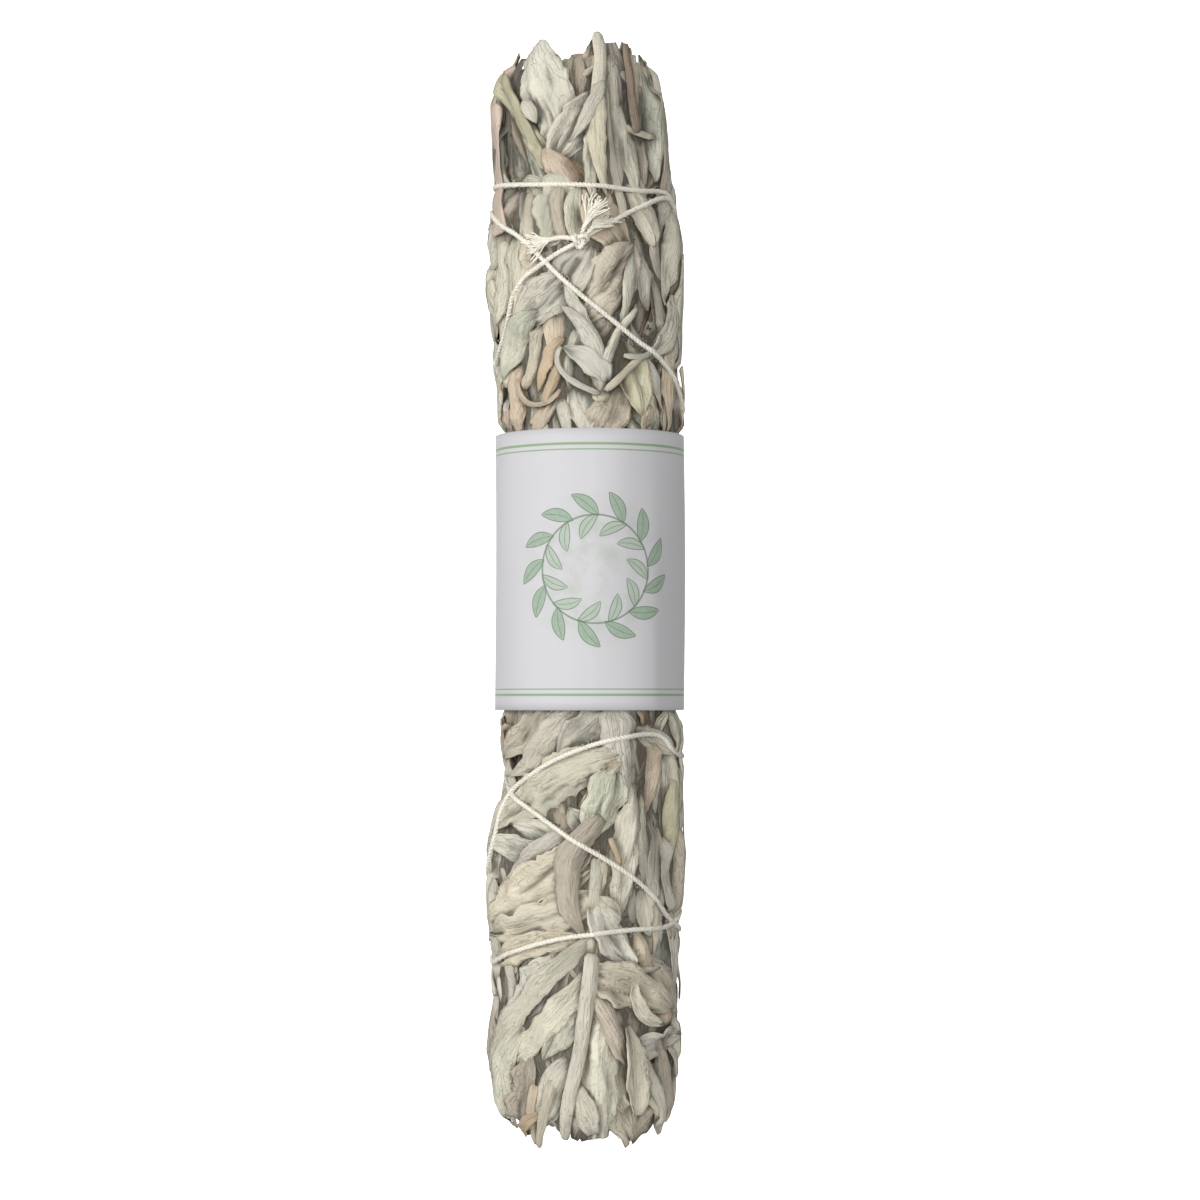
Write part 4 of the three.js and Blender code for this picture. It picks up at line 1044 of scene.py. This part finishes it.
class Value:
    """A number in a node tree that can be calculated with."""

    def __init__(self, graph, socket):
        self.graph, self.socket = graph, socket

    def math(self, operation, *others):
        """The result of one Math node."""
        return Value(self.graph, self.graph.math(operation, self, *others))

    def __add__(self, other):
        return self.math("ADD", other)

    __radd__ = __add__

    def __sub__(self, other):
        return self.math("SUBTRACT", other)

    def __rsub__(self, other):
        return (self * -1).math("ADD", other)

    def __mul__(self, other):
        return self.math("MULTIPLY", other)

    __rmul__ = __mul__

    def __truediv__(self, other):
        return self.math("DIVIDE", other)

    def __pow__(self, other):
        return self.math("POWER", other)

    def size(self):
        """The number without its sign."""
        return self.math("ABSOLUTE")

    def sine(self):
        """Its sine."""
        return self.math("SINE")

    def step(self, low, high):
        """0 below low, 1 above high and smooth between; the other way round if low is above high."""
        ends = {"interpolation_type": "SMOOTHSTEP", "clamp": True}
        inputs = {"Value": self, "From Min": low, "From Max": high}
        node = self.graph.node("ShaderNodeMapRange", ends, inputs)
        return Value(self.graph, node.outputs["Result"])


print("values can be added, subtracted, multiplied, divided and raised to powers")


# %% Graph of a material
class Graph(Tree):
    """The nodes of one material."""

    def __init__(self, name):
        self.material = bpy.data.materials.new(name)
        self.material.use_nodes = True
        self.tree = self.material.node_tree
        self.surface = self.tree.nodes["Principled BSDF"]

    def number(self, kind, settings=None, inputs=None, output=0):
        """Adds a node and gives its output as a Value."""
        return Value(self, self.node(kind, settings, inputs).outputs[output])

    def mix(self, factor, one, other):
        """A colour between two."""
        settings = {"data_type": "RGBA", "clamp_factor": True}
        made = self.node("ShaderNodeMix", settings)
        self.put(made.inputs["Factor"], factor)
        self.put(made.inputs[6], one)
        self.put(made.inputs[7], other)
        return made.outputs[2]

    def noise(self, place, scale, detail=3.0, roughness=0.55):
        """Smooth noise about 0.5."""
        inputs = {"Vector": place, "Scale": scale, "Detail": detail, "Roughness": roughness}
        return self.number("ShaderNodeTexNoise", None, inputs)

    def bump(self, height, strength, distance):
        """A normal from a height, in which 1 stands for a distance in metres."""
        inputs = {"Height": height, "Strength": strength, "Distance": distance}
        return self.node("ShaderNodeBump", None, inputs).outputs["Normal"]

    def finish(self, colour, roughness, normal=None, **constants):
        """Feeds the surface."""
        self.put(self.surface.inputs["Base Color"], colour)
        self.put(self.surface.inputs["Roughness"], roughness)
        if normal is not None:
            self.put(self.surface.inputs["Normal"], normal)
        for key, value in constants.items():
            self.surface.inputs[key.replace("_", " ")].default_value = value
        return self.material


def colour4(screen):
    """A screen colour as a socket's value."""
    return (*linear(screen), 1.0)


# %% [markdown]
# A dry sage leaf has a fine felt, a groove along its rib, side veins that run forward, small pebbles
# between them, wrinkles along it, and margins and spots that have browned. The folds are in the mesh;
# what is finer than a millimetre goes into the colour and a bump, and the colour also gets painted light
# and shade along the wrinkles and painted shade in fine crease lines. The leaf's own colour, with painted
# shade where its surroundings are higher, comes with the mesh, so that one material serves hundreds of
# leaves.


# %% Leaf material
BROWNED = (176, 146, 112)


def leaf_material(name, veins, browning):
    """The finish of dried leaves, with more or less of the veins and of the browning."""
    g = Graph(name)
    place = g.node("ShaderNodeTexCoord").outputs["Object"]
    tint = g.node("ShaderNodeAttribute", {"attribute_name": "tint"}).outputs["Color"]
    on_leaf = g.node("ShaderNodeAttribute", {"attribute_name": "leaf_place"}).outputs["Vector"]
    split = g.node("ShaderNodeSeparateXYZ", None, [on_leaf])
    across, along = Value(g, split.outputs["X"]), Value(g, split.outputs["Y"])
    veins = Value(g, split.outputs["Z"]).step(-0.5, 0.5) * veins
    broad = g.noise(place, 90, 4)
    fine = g.noise(place, 700, 3)
    felt = g.noise(place, 2600, 2)
    slant = along * 1.5 - across.size() * 3.4
    side_veins = (slant + broad * 7).sine().size().step(0.16, 0.0) * across.size().step(0.05, 0.2)
    rib = across.size().step(0.09, 0.03)
    settings, inputs = {"feature": "DISTANCE_TO_EDGE"}, {"Vector": place, "Scale": 900.0}
    pebbles = g.number("ShaderNodeTexVoronoi", settings, inputs, "Distance").step(0.0, 0.35)
    stretched = g.vector("MULTIPLY", on_leaf, (2.6, 0.16, 1.0))
    wrinkles = g.noise(stretched, 1.6, 4, 0.6)
    # Fine lines along the leaf, which are darkened in the colour below as painted shade in creases
    lines = (g.noise(stretched, 1.3, 1) - 0.5).size().step(0.03, 0.0) * broad.step(0.4, 0.6)
    rim = across.size().step(0.84, 0.94)
    # The leaf's tone: random broad and fine shifts, darker side veins and a paler rib, painted light and
    # shade that follow the wrinkles, painted shade in the fine crease lines, and lighter margins
    shade = 0.83 + broad * 0.16 + fine * 0.06 + wrinkles * 0.16
    shade = shade - side_veins * 0.025 * veins + rib * 0.03 * veins
    shade = shade - lines * 0.08 + rim * 0.05
    lit = g.vector("SCALE", tint, Scale=shade)
    edge = across.size().step(0.9, 1.0) * fine.step(0.4, 0.6)
    spots = g.noise(place, 160, 4, 0.65).step(0.64, 0.72)
    browned = (edge * 0.35 + spots * 0.45) * browning
    colour = g.mix(browned, lit, colour4(BROWNED))
    height = felt * 0.2 + pebbles * 0.25 * veins + fine * 0.7 + wrinkles * 2.6
    height = height - lines * 0.7 - side_veins * 0.12 * veins - rib * 0.3 * veins
    normal = g.bump(height, 0.8, 0.00035)
    return g.finish(colour, 0.93, normal, Specular_IOR_Level=0.18)


leaf_surface = leaf_material("dried sage leaf", 1.0, 1.0)
shoot_surface = leaf_material("pale young leaf", 0.5, 0.35)
bark_surface = leaf_material("dry bark", 0.2, 1.0)
print("materials", [surface.name for surface in (leaf_surface, shoot_surface, bark_surface)])

# %% [markdown]
# Each heap becomes one piece that takes the place of its solid in the model, which is hidden; the piece
# has the solid's name with _looks added, so that the bunch keeps its parts.

# %% Make the leafy pieces
SURFACES = {"tucked_shoot": shoot_surface, "dry_twig": bark_surface}
for name, heap in heaps.items():
    piece = heap.mesh(name + "_looks")
    piece.data.materials.append(SURFACES.get(name, leaf_surface))
    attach(piece, "root")
    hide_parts(name)
    print(piece.name, len(piece.data.polygons), "faces")

# %% [markdown]
# ## The twine on the bunch
# The twine is taut, so it rests on the high places and runs straight between them. It starts from the
# surface, and a few dozen rounds of averaging lift it off the hollows, which is quicker and steadier
# here than a simulated rope. It stays off the table and close to the leaves beside the sleeve.

# %% The twine's line
# The largest radius of the twine's line under the sleeve, and its gap to the table, in mm
TWINE_UNDER_SLEEVE = 16.9
TABLE_GAP = 0.15
TAUT_ROUNDS = 60


def surface_radius(u, s):
    """The radius of the top of the pile."""
    i, j = cells(u, s)
    steps = (-1, 0, 1)
    around = [between(pile, i + a, np.clip(j + b, FIRST_CELL, LAST_CELL)) for a in steps for b in steps]
    return radius_at(u, s, (np.max(around, axis=0) + np.mean(around, axis=0)) / 2)


def pulled_taut(u, s, press):
    """Radii along a line that rests on the high places, straight between them."""
    rest = surface_radius(u, s) + TWINE_RADIUS - press
    past = past_sleeve(s)
    beside = TWINE_UNDER_SLEEVE + 0.25 * np.maximum(past, 0)
    cap = np.where(past < 3, beside, TWINE_UNDER_SLEEVE + 0.75 + 0.9 * (past - 3))
    down = -np.cos(u / UNROLL_RADIUS)
    to_table = np.where(down > 0, (AXIS_HEIGHT - TWINE_RADIUS - TABLE_GAP) / down, 99)
    rest = np.minimum(rest, np.minimum(cap, to_table))
    radius = rest.copy()
    for _ in range(TAUT_ROUNDS):
        middle = (np.roll(radius, 1) + np.roll(radius, -1)) / 2 - 0.012
        radius[1:-1] = np.maximum(rest, middle)[1:-1]
    return np.minimum(radius, np.minimum(cap + 0.3, to_table))


route = route[::2]
route_radius = pulled_taut(route[:, 0], route[:, 1], 0.4)
twine_line = rolled(route[:, 0], route[:, 1], route_radius)
twine_length = float(np.linalg.norm(np.diff(twine_line, axis=0), axis=1).sum())
print("twine length without its tails", round(twine_length, 3), "m")

# %% [markdown]
# The twine's two ends meet in a small overhand knot, whose line is a trefoil. One of them has come apart
# in two, so three short tails lie on the leaves.

# %% Knot and tails
KNOT = (-1.2, 70)


def on_surface(points, lift):
    """A smooth line over the front through places seen from above, in metres."""
    flat = smooth_line(np.array([seen(x, y) for x, y in points]), 6)
    return rolled(flat[:, 0], flat[:, 1], surface_radius(flat[:, 0], flat[:, 1]) + lift)


knot_centre = on_surface([KNOT, (-1.1, 70.1)], 0.9)[0]
turn = np.linspace(0, 2 * math.pi, 60)
knot_x = 0.62 * (np.sin(turn) + 2 * np.sin(2 * turn)) * 0.8
knot_y = 0.55 * (np.cos(turn) - 2 * np.cos(2 * turn)) * 0.8
knot_z = 0.5 + 0.62 * -np.sin(3 * turn)
knot_line = knot_centre + MM * np.stack([knot_x, knot_y, knot_z], axis=-1)
tails = [
    on_surface([KNOT, (-0.4, 72.4), (0.6, 74.8)], 0.8),
    on_surface([KNOT, (0.6, 71.8), (2.4, 73.6)], 0.8),
    on_surface([KNOT, (-5.5, 70.7), (-9.6, 69.8)], 0.8),
]
print("knot at", np.round(knot_centre, 4), "and", len(tails), "tails")

# %% [markdown]
# ## Spinning the twine
# Cotton twine is three plies twisted together, with short fibres standing off it. Geometry Nodes suit
# what follows a path: one graph sweeps a section with three lobes along the route and twists it as it
# goes, and a second sets fine loose fibres on its faces at random, with a fixed seed.

# %% Curves and graphs
def curve_object(name, lines):
    """A curve object made of poly lines in metres."""
    data = bpy.data.curves.new(name, "CURVE")
    data.dimensions = "3D"
    for line in lines:
        spline = data.splines.new("POLY")
        spline.points.add(len(line) - 1)
        spline.points.foreach_set("co", np.concatenate([line, np.ones((len(line), 1))], axis=1).ravel())
    made = bpy.data.objects.new(name, data)
    bpy.context.collection.objects.link(made)
    return made


class Works(Tree):
    """A Geometry Nodes graph with named inputs."""

    def __init__(self, name, inputs):
        self.tree = bpy.data.node_groups.new(name, "GeometryNodeTree")
        faces = self.tree.interface
        faces.new_socket("Geometry", in_out="INPUT", socket_type="NodeSocketGeometry")
        faces.new_socket("Geometry", in_out="OUTPUT", socket_type="NodeSocketGeometry")
        self.known = {}
        for key, kind in inputs.items():
            self.known[key] = faces.new_socket(key, in_out="INPUT", socket_type="NodeSocket" + kind)
        self.start = self.tree.nodes.new("NodeGroupInput")
        self.end = self.tree.nodes.new("NodeGroupOutput")

    def given(self, key):
        """A named input."""
        return self.start.outputs[key]

    def close(self, geometry):
        """Ends the graph in real geometry with the material set."""
        real = self.node("GeometryNodeRealizeInstances", None, [geometry]).outputs[0]
        inputs = {"Geometry": real, "Material": self.given("Material")}
        self.put(self.end.inputs[0], self.node("GeometryNodeSetMaterial", None, inputs).outputs[0])

    def apply(self, source, name, values):
        """The mesh that the graph makes from an object."""
        modifier = source.modifiers.new(name, "NODES")
        modifier.node_group = self.tree
        for key, value in values.items():
            modifier[self.known[key].identifier] = value
        source.update_tag()
        shown = source.evaluated_get(bpy.context.evaluated_depsgraph_get())
        made = bpy.data.meshes.new_from_object(shown)
        source.modifiers.remove(modifier)
        return made


print("graphs end in real geometry with a material")

# %% Graph of the plies
# A section each 0.6 mm with 15 points, whose three lobes swell from 0.78 of the radius to 1.04 of it
PLY_STEP = 0.0006
PLY_SIDES = 15
LOBE_SWELL, LOBE_BASE = 0.26, 0.78


def plied_works():
    """Sweeps a section of three plies along a curve, twisting it."""
    w = Works("plied twine", {"Radius": "Float", "Twist": "Float", "Material": "Material"})
    inputs = {"Curve": w.given("Geometry"), "Length": PLY_STEP}
    even = w.node("GeometryNodeResampleCurve", {"mode": "LENGTH"}, inputs).outputs[0]
    gone = w.node("GeometryNodeSplineParameter").outputs["Length"]
    angle = w.math("MULTIPLY", gone, w.given("Twist"))
    twisted = w.node("GeometryNodeSetCurveTilt", None, {"Curve": even, "Tilt": angle}).outputs[0]
    inputs = {"Resolution": PLY_SIDES, "Radius": 1.0}
    ring = w.node("GeometryNodeCurvePrimitiveCircle", {"mode": "RADIUS"}, inputs).outputs[0]
    at = w.node("GeometryNodeInputPosition").outputs[0]
    parts = w.node("ShaderNodeSeparateXYZ", None, [at])
    around = w.math("ARCTAN2", parts.outputs["Y"], parts.outputs["X"])
    lobe = w.math("ABSOLUTE", w.math("SINE", w.math("MULTIPLY", around, 1.5)))
    swell = w.math("MULTIPLY_ADD", lobe, LOBE_SWELL, LOBE_BASE)
    moved = w.vector("SCALE", at, Scale=w.math("MULTIPLY", swell, w.given("Radius")))
    section = w.node("GeometryNodeSetPosition", None, {"Geometry": ring, "Position": moved}).outputs[0]
    inputs = {"Curve": twisted, "Profile Curve": section, "Fill Caps": True}
    swept = w.node("GeometryNodeCurveToMesh", None, inputs).outputs[0]
    inputs = {"Geometry": swept, "Shade Smooth": True}
    w.close(w.node("GeometryNodeSetShadeSmooth", None, inputs).outputs[0])
    return w


plied = plied_works()
print("plied twine:", len(plied.tree.nodes), "nodes")

# %% Graph of the fibres
# A fibre's curve at a length of 1, and the least and the most that it is turned by, in radians
FIBRE = {
    "Resolution": 5,
    "Start": (0, 0, 0),
    "Start Handle": (0.1, 0, 0.5),
    "End": (0.9, 0, 0.35),
    "End Handle": (-0.4, 0, 0.3),
}
LEAST_TURN, MOST_TURN = (-0.5, -0.5, 0.0), (0.5, 0.5, 6.28)


def fibre_works():
    """Sets short curved fibres all over a mesh."""
    kinds = {"Density": "Float", "Length": "Float", "Seed": "Int", "Material": "Material"}
    w = Works("loose fibres", kinds)
    inputs = {"Mesh": w.given("Geometry"), "Density": w.given("Density"), "Seed": w.given("Seed")}
    roots = w.node("GeometryNodeDistributePointsOnFaces", {"distribute_method": "RANDOM"}, inputs)
    arc = w.node("GeometryNodeCurvePrimitiveBezierSegment", {"mode": "OFFSET"}, FIBRE).outputs[0]
    inputs = {"Resolution": 3, "Radius": 0.03}
    ring = w.node("GeometryNodeCurvePrimitiveCircle", {"mode": "RADIUS"}, inputs).outputs[0]
    hair = w.node("GeometryNodeCurveToMesh", None, {"Curve": arc, "Profile Curve": ring}).outputs[0]
    inputs = {0: LEAST_TURN, 1: MOST_TURN, "Seed": w.given("Seed")}
    turned = w.node("FunctionNodeRandomValue", {"data_type": "FLOAT_VECTOR"}, inputs).outputs[0]
    inputs = [roots.outputs["Rotation"], turned]
    spin = w.node("FunctionNodeRotateRotation", {"rotation_space": "LOCAL"}, inputs).outputs[0]
    inputs = {"Points": roots.outputs["Points"], "Instance": hair, "Rotation": spin}
    inputs["Scale"] = w.given("Length")
    placed = w.node("GeometryNodeInstanceOnPoints", None, inputs).outputs[0]
    both = w.node("GeometryNodeJoinGeometry")
    for geometry in (placed, w.given("Geometry")):
        w.put(both.inputs[0], geometry)
    w.close(both.outputs[0])
    return w


fibres = fibre_works()
print("loose fibres:", len(fibres.tree.nodes), "nodes")

# %% Make the twine
THREAD_DARK, THREAD_LIGHT = (228, 222, 206), (243, 239, 228)
g = Graph("cotton twine")
thread_place = g.node("ShaderNodeTexCoord").outputs["Object"]
thread_noise = g.noise(thread_place, 900, 3)
thread_colour = g.mix(thread_noise, colour4(THREAD_DARK), colour4(THREAD_LIGHT))
cotton_surface = g.finish(thread_colour, 0.95, g.bump(thread_noise, 0.5, 0.0002), Specular_IOR_Level=0.15)

twine_curve = curve_object("twine route", [twine_line, knot_line, *tails])
inputs = {"Radius": TWINE_RADIUS * MM, "Twist": 2600.0, "Material": cotton_surface}
twine_mesh = plied.apply(twine_curve, "ply", inputs)
bare_twine = bpy.data.objects.new("bare twine", twine_mesh)
bpy.context.collection.objects.link(bare_twine)
inputs = {"Density": 0.6e6, "Length": 0.001, "Seed": 7, "Material": cotton_surface}
fuzzy = fibres.apply(bare_twine, "fuzz", inputs)
print("twine", len(twine_mesh.polygons), "faces, with fibres", len(fuzzy.polygons))

# %% [markdown]
# Each tail comes undone into a brush of strands, thin bars that fan out from its end. The same graph
# sweeps them, with a smaller radius.


# %% Frayed ends
STRANDS = 34
STRAND_RADIUS = 0.14

# In metres: how far before a tail's end its strands start, and how long each tail's are
STRAND_START = 0.0024
TAIL_BRUSHES = (0.0062, 0.0064, 0.0066)


def brush_lines(end, direction, count, length, fan):
    """Strands that leave a tail's end and spread."""
    lines = []
    side = np.cross(direction, (0, 0, 1))
    side /= np.linalg.norm(side)
    for _ in range(count):
        sway = dice.normal(0, fan)
        rise = dice.uniform(0.0, 0.4)
        reach = length * dice.uniform(0.6, 1.1)
        t = np.linspace(0, 1, 8)[:, None]
        wiggle = 0.08 * np.sin(t * dice.uniform(4, 9) + dice.uniform(0, 6))
        bend = side * (sway * t + sway * 0.5 * t**2 + wiggle * t)
        lift = np.array([0, 0, 1]) * rise * t * (1 - 0.6 * t)
        lines.append(end + reach * (direction * t + bend + lift))
    return lines


strands = []
for tail, length in zip(tails, TAIL_BRUSHES):
    heading = tail[-1] - tail[-3]
    heading /= np.linalg.norm(heading)
    strands += brush_lines(tail[-1] - heading * STRAND_START, heading, STRANDS, length, 0.2)
strand_curve = curve_object("strands", strands)
inputs = {"Radius": STRAND_RADIUS * MM, "Twist": 500.0, "Material": cotton_surface}
strand_mesh = plied.apply(strand_curve, "strand", inputs)
print("strands", len(strand_mesh.polygons), "faces")

# %% [markdown]
# No fibre goes into the table, so the lowest ones are lifted onto it. Then twine and strands take the
# place of the model's twine.

# %% The twine's pieces
LOWEST_FIBRE = 0.05
corners = np.zeros(len(fuzzy.vertices) * 3)
fuzzy.vertices.foreach_get("co", corners)
corners[2::3] = np.maximum(corners[2::3], LOWEST_FIBRE * MM)
fuzzy.vertices.foreach_set("co", corners)
twine = bpy.data.objects.new("cotton_twine_looks", fuzzy)
brush = bpy.data.objects.new("frayed_ends_looks", strand_mesh)
for piece in (twine, brush):
    bpy.context.collection.objects.link(piece)
    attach(piece, "root")
    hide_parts("cotton_twine")
for spare in (twine_curve, strand_curve, bare_twine):
    bpy.data.objects.remove(spare)
print("twine pieces", twine.name, brush.name)

# %% [markdown]
# ## The paper sleeve
# The paper goes round once and laps over its own start on the underside. It isn't quite round: it has
# faint flats and waves where leaves press on it, and one soft crease along its right side. A tube with
# a thickness modifier would have no lap, so the sheet is rolled up like the leaves are.

# %% Paper sleeve
# In mm, with the angles of its start and its crease counted from the top
PAPER_THICKNESS = 0.28
LAP = 11.0
PAPER_START = math.radians(160)
CREASE_AT = math.radians(40.5)
PAPER_GRID = (240, 30)
paper_u = np.linspace(0, 2 * math.pi * PAPER_RADIUS + LAP, PAPER_GRID[0])[:, None]
paper_s = np.linspace(SLEEVE_LOW, SLEEVE_HIGH, PAPER_GRID[1])[None, :]
paper_angle = paper_u / PAPER_RADIUS + PAPER_START
waves = 0.12 * np.sin(5 * paper_angle + paper_s / 16) + 0.07 * np.sin(9 * paper_angle - paper_s / 11 + 1)
from_crease = np.mod(paper_angle, 2 * math.pi) - CREASE_AT
soft = 0.015 + 0.1 * (paper_s - SLEEVE_LOW) / (SLEEVE_HIGH - SLEEVE_LOW)
waves = waves + 0.9 * np.exp(-np.sqrt(from_crease**2 + soft**2) / 0.28)
over = np.clip((paper_u - 2 * math.pi * PAPER_RADIUS + 4) / 4, 0, 1)
paper_radius = PAPER_RADIUS + waves + over * (PAPER_THICKNESS + 0.1)


def paper_points(radius):
    """The sheet's points at a radius, in metres."""
    x = radius * np.sin(paper_angle) + 0.75 + CENTRING[0] + 0 * paper_s
    z = 0.985 * radius * np.cos(paper_angle) + AXIS_HEIGHT + 0.3
    return np.stack([x, paper_s + CENTRING[1] + 0 * paper_u, z], axis=-1) * MM


paper_heap = Heap()
from_front = (paper_angle - 2 * math.pi + 0 * paper_s) * PAPER_RADIUS
grids = [paper_points(paper_radius + PAPER_THICKNESS), paper_points(paper_radius)]
paper_heap.add(
    [grids[0][:, ::-1], grids[1][:, ::-1]],
    np.ones((*PAPER_GRID, 3)),
    (paper_s + 0 * paper_u)[:, ::-1],
    from_front[:, ::-1],
    False,
)
paper = paper_heap.mesh("paper_sleeve_looks")
print("sleeve", len(paper.data.polygons), "faces")

# %% [markdown]
# The print could be a picture laid on the sheet, but drawn with maths it stays sharp. It is worked out
# on the flat sheet, in millimetres from the middle of its front: two fine rules near each edge, and a
# wreath of small leaves in soft greens over a faint wash.

# %% Rules on the paper
# Each rule's distance from the edge and half its thickness, in mm
RULES = ((3.0, 0.22), (4.1, 0.1))
g = Graph("printed paper")
sheet_place = g.node("ShaderNodeAttribute", {"attribute_name": "leaf_place"}).outputs["Vector"]
parts = g.node("ShaderNodeSeparateXYZ", None, [sheet_place])
across, along = Value(g, parts.outputs["X"]), Value(g, parts.outputs["Y"])
from_middle = along - (SLEEVE_LOW + SLEEVE_HIGH) / 2
half_sleeve = (SLEEVE_HIGH - SLEEVE_LOW) / 2
rules = 0
for inset, thick in RULES:
    rules = (from_middle.size() - (half_sleeve - inset)).size().step(thick + 0.05, thick) + rules
print(2 * len(RULES), "rules on the paper")

# %% Wreath
WREATH = 10.5
OUTER_LEAVES, INNER_LEAVES = 13, 11
x, y = across - 1.0, from_middle
distance = (x * x + y * y) ** 0.5
bearing = y.math("ARCTAN2", x)


def leaf_ring(count, offset, radius, tilt, long, wide):
    """Masks of the blades and ribs of a ring of small leaves."""
    sector = 2 * math.pi / count
    local = ((bearing / sector + offset).math("FRACT") - 0.5) * sector * radius
    out = distance - radius
    a, b = math.cos(tilt), math.sin(tilt)
    length, width = local * a + out * b, out * a - local * b
    room = (1 - (length / long) ** 2).math("MAXIMUM", 0.0) * wide
    blade = (width.size() - room).step(0.05, -0.05) * length.size().step(long, long - 0.1)
    outline = (width.size() - room).size().step(0.13, 0.05) * length.size().step(long, long - 0.1)
    rib = width.size().step(0.09, 0.03) * length.size().step(long * 0.9, long * 0.7)
    return blade, outline.math("MAXIMUM", rib)


outer_blades, outer_lines = leaf_ring(OUTER_LEAVES, 0.0, WREATH + 2.2, 0.8, 3.4, 1.25)
inner_blades, inner_lines = leaf_ring(INNER_LEAVES, 0.4, WREATH - 2.0, -0.8, 3.0, 1.05)
stem_line = (distance - WREATH).size().step(0.24, 0.12)
print("wreath of", OUTER_LEAVES + INNER_LEAVES, "leaves,", 2 * WREATH, "mm across its stem")

# %% Printed paper
INKS = {
    "sheet": (199, 198, 200),
    "grain": (196, 194, 197),
    "wash": (158, 172, 152),
    "outer leaves": (142, 164, 142),
    "inner leaves": (160, 178, 156),
    "stem": (112, 128, 110),
    "outlines": (96, 112, 96),
    "rules": (124, 156, 112),
}
paper_noise = g.noise(g.node("ShaderNodeTexCoord").outputs["Object"], 500, 4)
wash = g.noise(sheet_place, 0.22, 3)
inks = {name: colour4(screen) for name, screen in INKS.items()}
colour = g.mix(paper_noise * 0.5, inks["sheet"], inks["grain"])
mottle = g.noise(sheet_place, 1.4, 3)
colour = g.mix((distance - 6).step(11, 3) * wash.step(0.35, 0.7) * 0.4, colour, inks["wash"])
colour = g.mix(outer_blades * (0.5 + mottle * 0.7), colour, inks["outer leaves"])
colour = g.mix(inner_blades * (0.35 + mottle * 0.7), colour, inks["inner leaves"])
colour = g.mix(stem_line * 0.8, colour, inks["stem"])
colour = g.mix(outer_lines.math("MAXIMUM", inner_lines) * 0.8, colour, inks["outlines"])
colour = g.mix(rules * 0.85, colour, inks["rules"])
paper_surface = g.finish(colour, 0.62, g.bump(paper_noise, 0.12, 0.0002), Specular_IOR_Level=0.3)
paper.data.materials.append(paper_surface)
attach(paper, "root")
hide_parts("paper_sleeve")
print("printed with", len(INKS), "inks")

# %% [markdown]
# ## The studio
# The photograph was taken on white, with soft light from all round. The table glows by itself, so that
# it stays white under any lamp. The world is white behind the bunch but lights it only faintly, and
# the shadows come from two broad lamps, one at the upper left and one overhead. Two weak ones light
# the ends. The camera looks down from half a metre, a little below the middle of the bunch.

# %% Table
g = Graph("white table")
g.surface.inputs["Emission Strength"].default_value = 1.0
table_surface = g.finish((0.9, 0.9, 0.9, 1.0), 0.9, Emission_Color=(1.0, 1.0, 1.0, 1.0))
bpy.ops.mesh.primitive_plane_add(size=60.0, location=(0, 0, -0.0002))
floor = bpy.context.object
floor.data.materials.append(table_surface)
floor.visible_diffuse = False
print("table", floor.name)

# %% Light from all round
SKIES = {"lights the bunch": 0.18, "seen behind it": 1.0}
world = bpy.data.worlds.new("soft light")
world.use_nodes = True
world_nodes, world_links = world.node_tree.nodes, world.node_tree.links
for name, strength in SKIES.items():
    glow = world_nodes.new("ShaderNodeBackground")
    glow.name = name
    glow.inputs["Color"].default_value = (1.0, 1.0, 1.0, 1.0)
    glow.inputs["Strength"].default_value = strength
ray, chosen = world_nodes.new("ShaderNodeLightPath"), world_nodes.new("ShaderNodeMixShader")
world_links.new(ray.outputs["Is Camera Ray"], chosen.inputs["Fac"])
world_links.new(world_nodes["lights the bunch"].outputs["Background"], chosen.inputs[1])
world_links.new(world_nodes["seen behind it"].outputs["Background"], chosen.inputs[2])
world_links.new(chosen.outputs["Shader"], world_nodes["World Output"].inputs["Surface"])
bpy.context.scene.world = world
print("world", world.name)

# %% Lamps
# Each lamp's place in metres, its power in watts and its width
LAMPS = [
    ((-0.68, 0.15, 0.58), 4.7, 0.35),
    ((0.05, 0.06, 0.89), 4.65, 0.45),
    ((0.05, -0.9, 0.12), 1.5, 0.4),
    ((0.05, 0.9, 0.12), 1.2, 0.4),
]
for place, power, size in LAMPS:
    lamp = bpy.data.lights.new("soft lamp", "AREA")
    lamp.energy, lamp.size = power, size
    holder = bpy.data.objects.new("soft lamp", lamp)
    holder.location = place
    holder.rotation_euler = (-Vector(place)).to_track_quat("-Z", "Y").to_euler()
    bpy.context.collection.objects.link(holder)
print(len(LAMPS), "lamps")

# %% Camera
# Half the width that the camera sees at the bunch's axis, and the sensor's width, in mm
HALF_VIEW = 120
SENSOR = 36
eye = Vector((CENTRING[0], EYE_ALONG + CENTRING[1], AXIS_HEIGHT + EYE_HEIGHT)) * MM
aim = Vector((2.8 + CENTRING[0], -2.4 + CENTRING[1], AXIS_HEIGHT)) * MM
back = (eye - aim).normalized()
right = Vector((0, 1, 0)).cross(back).normalized()
up = back.cross(right)
lens = bpy.data.cameras.new("camera")
lens.lens = SENSOR / 2 / (HALF_VIEW / EYE_HEIGHT)
camera = bpy.data.objects.new("camera", lens)
camera.matrix_world = Matrix.Translation(eye) @ Matrix((right, up, back)).transposed().to_4x4()
lens.clip_start, lens.clip_end = 0.01, 20
bpy.context.collection.objects.link(camera)
bpy.context.scene.camera = camera
bpy.context.scene.view_settings.view_transform = "Standard"
print("lens", round(lens.lens, 1), "mm")
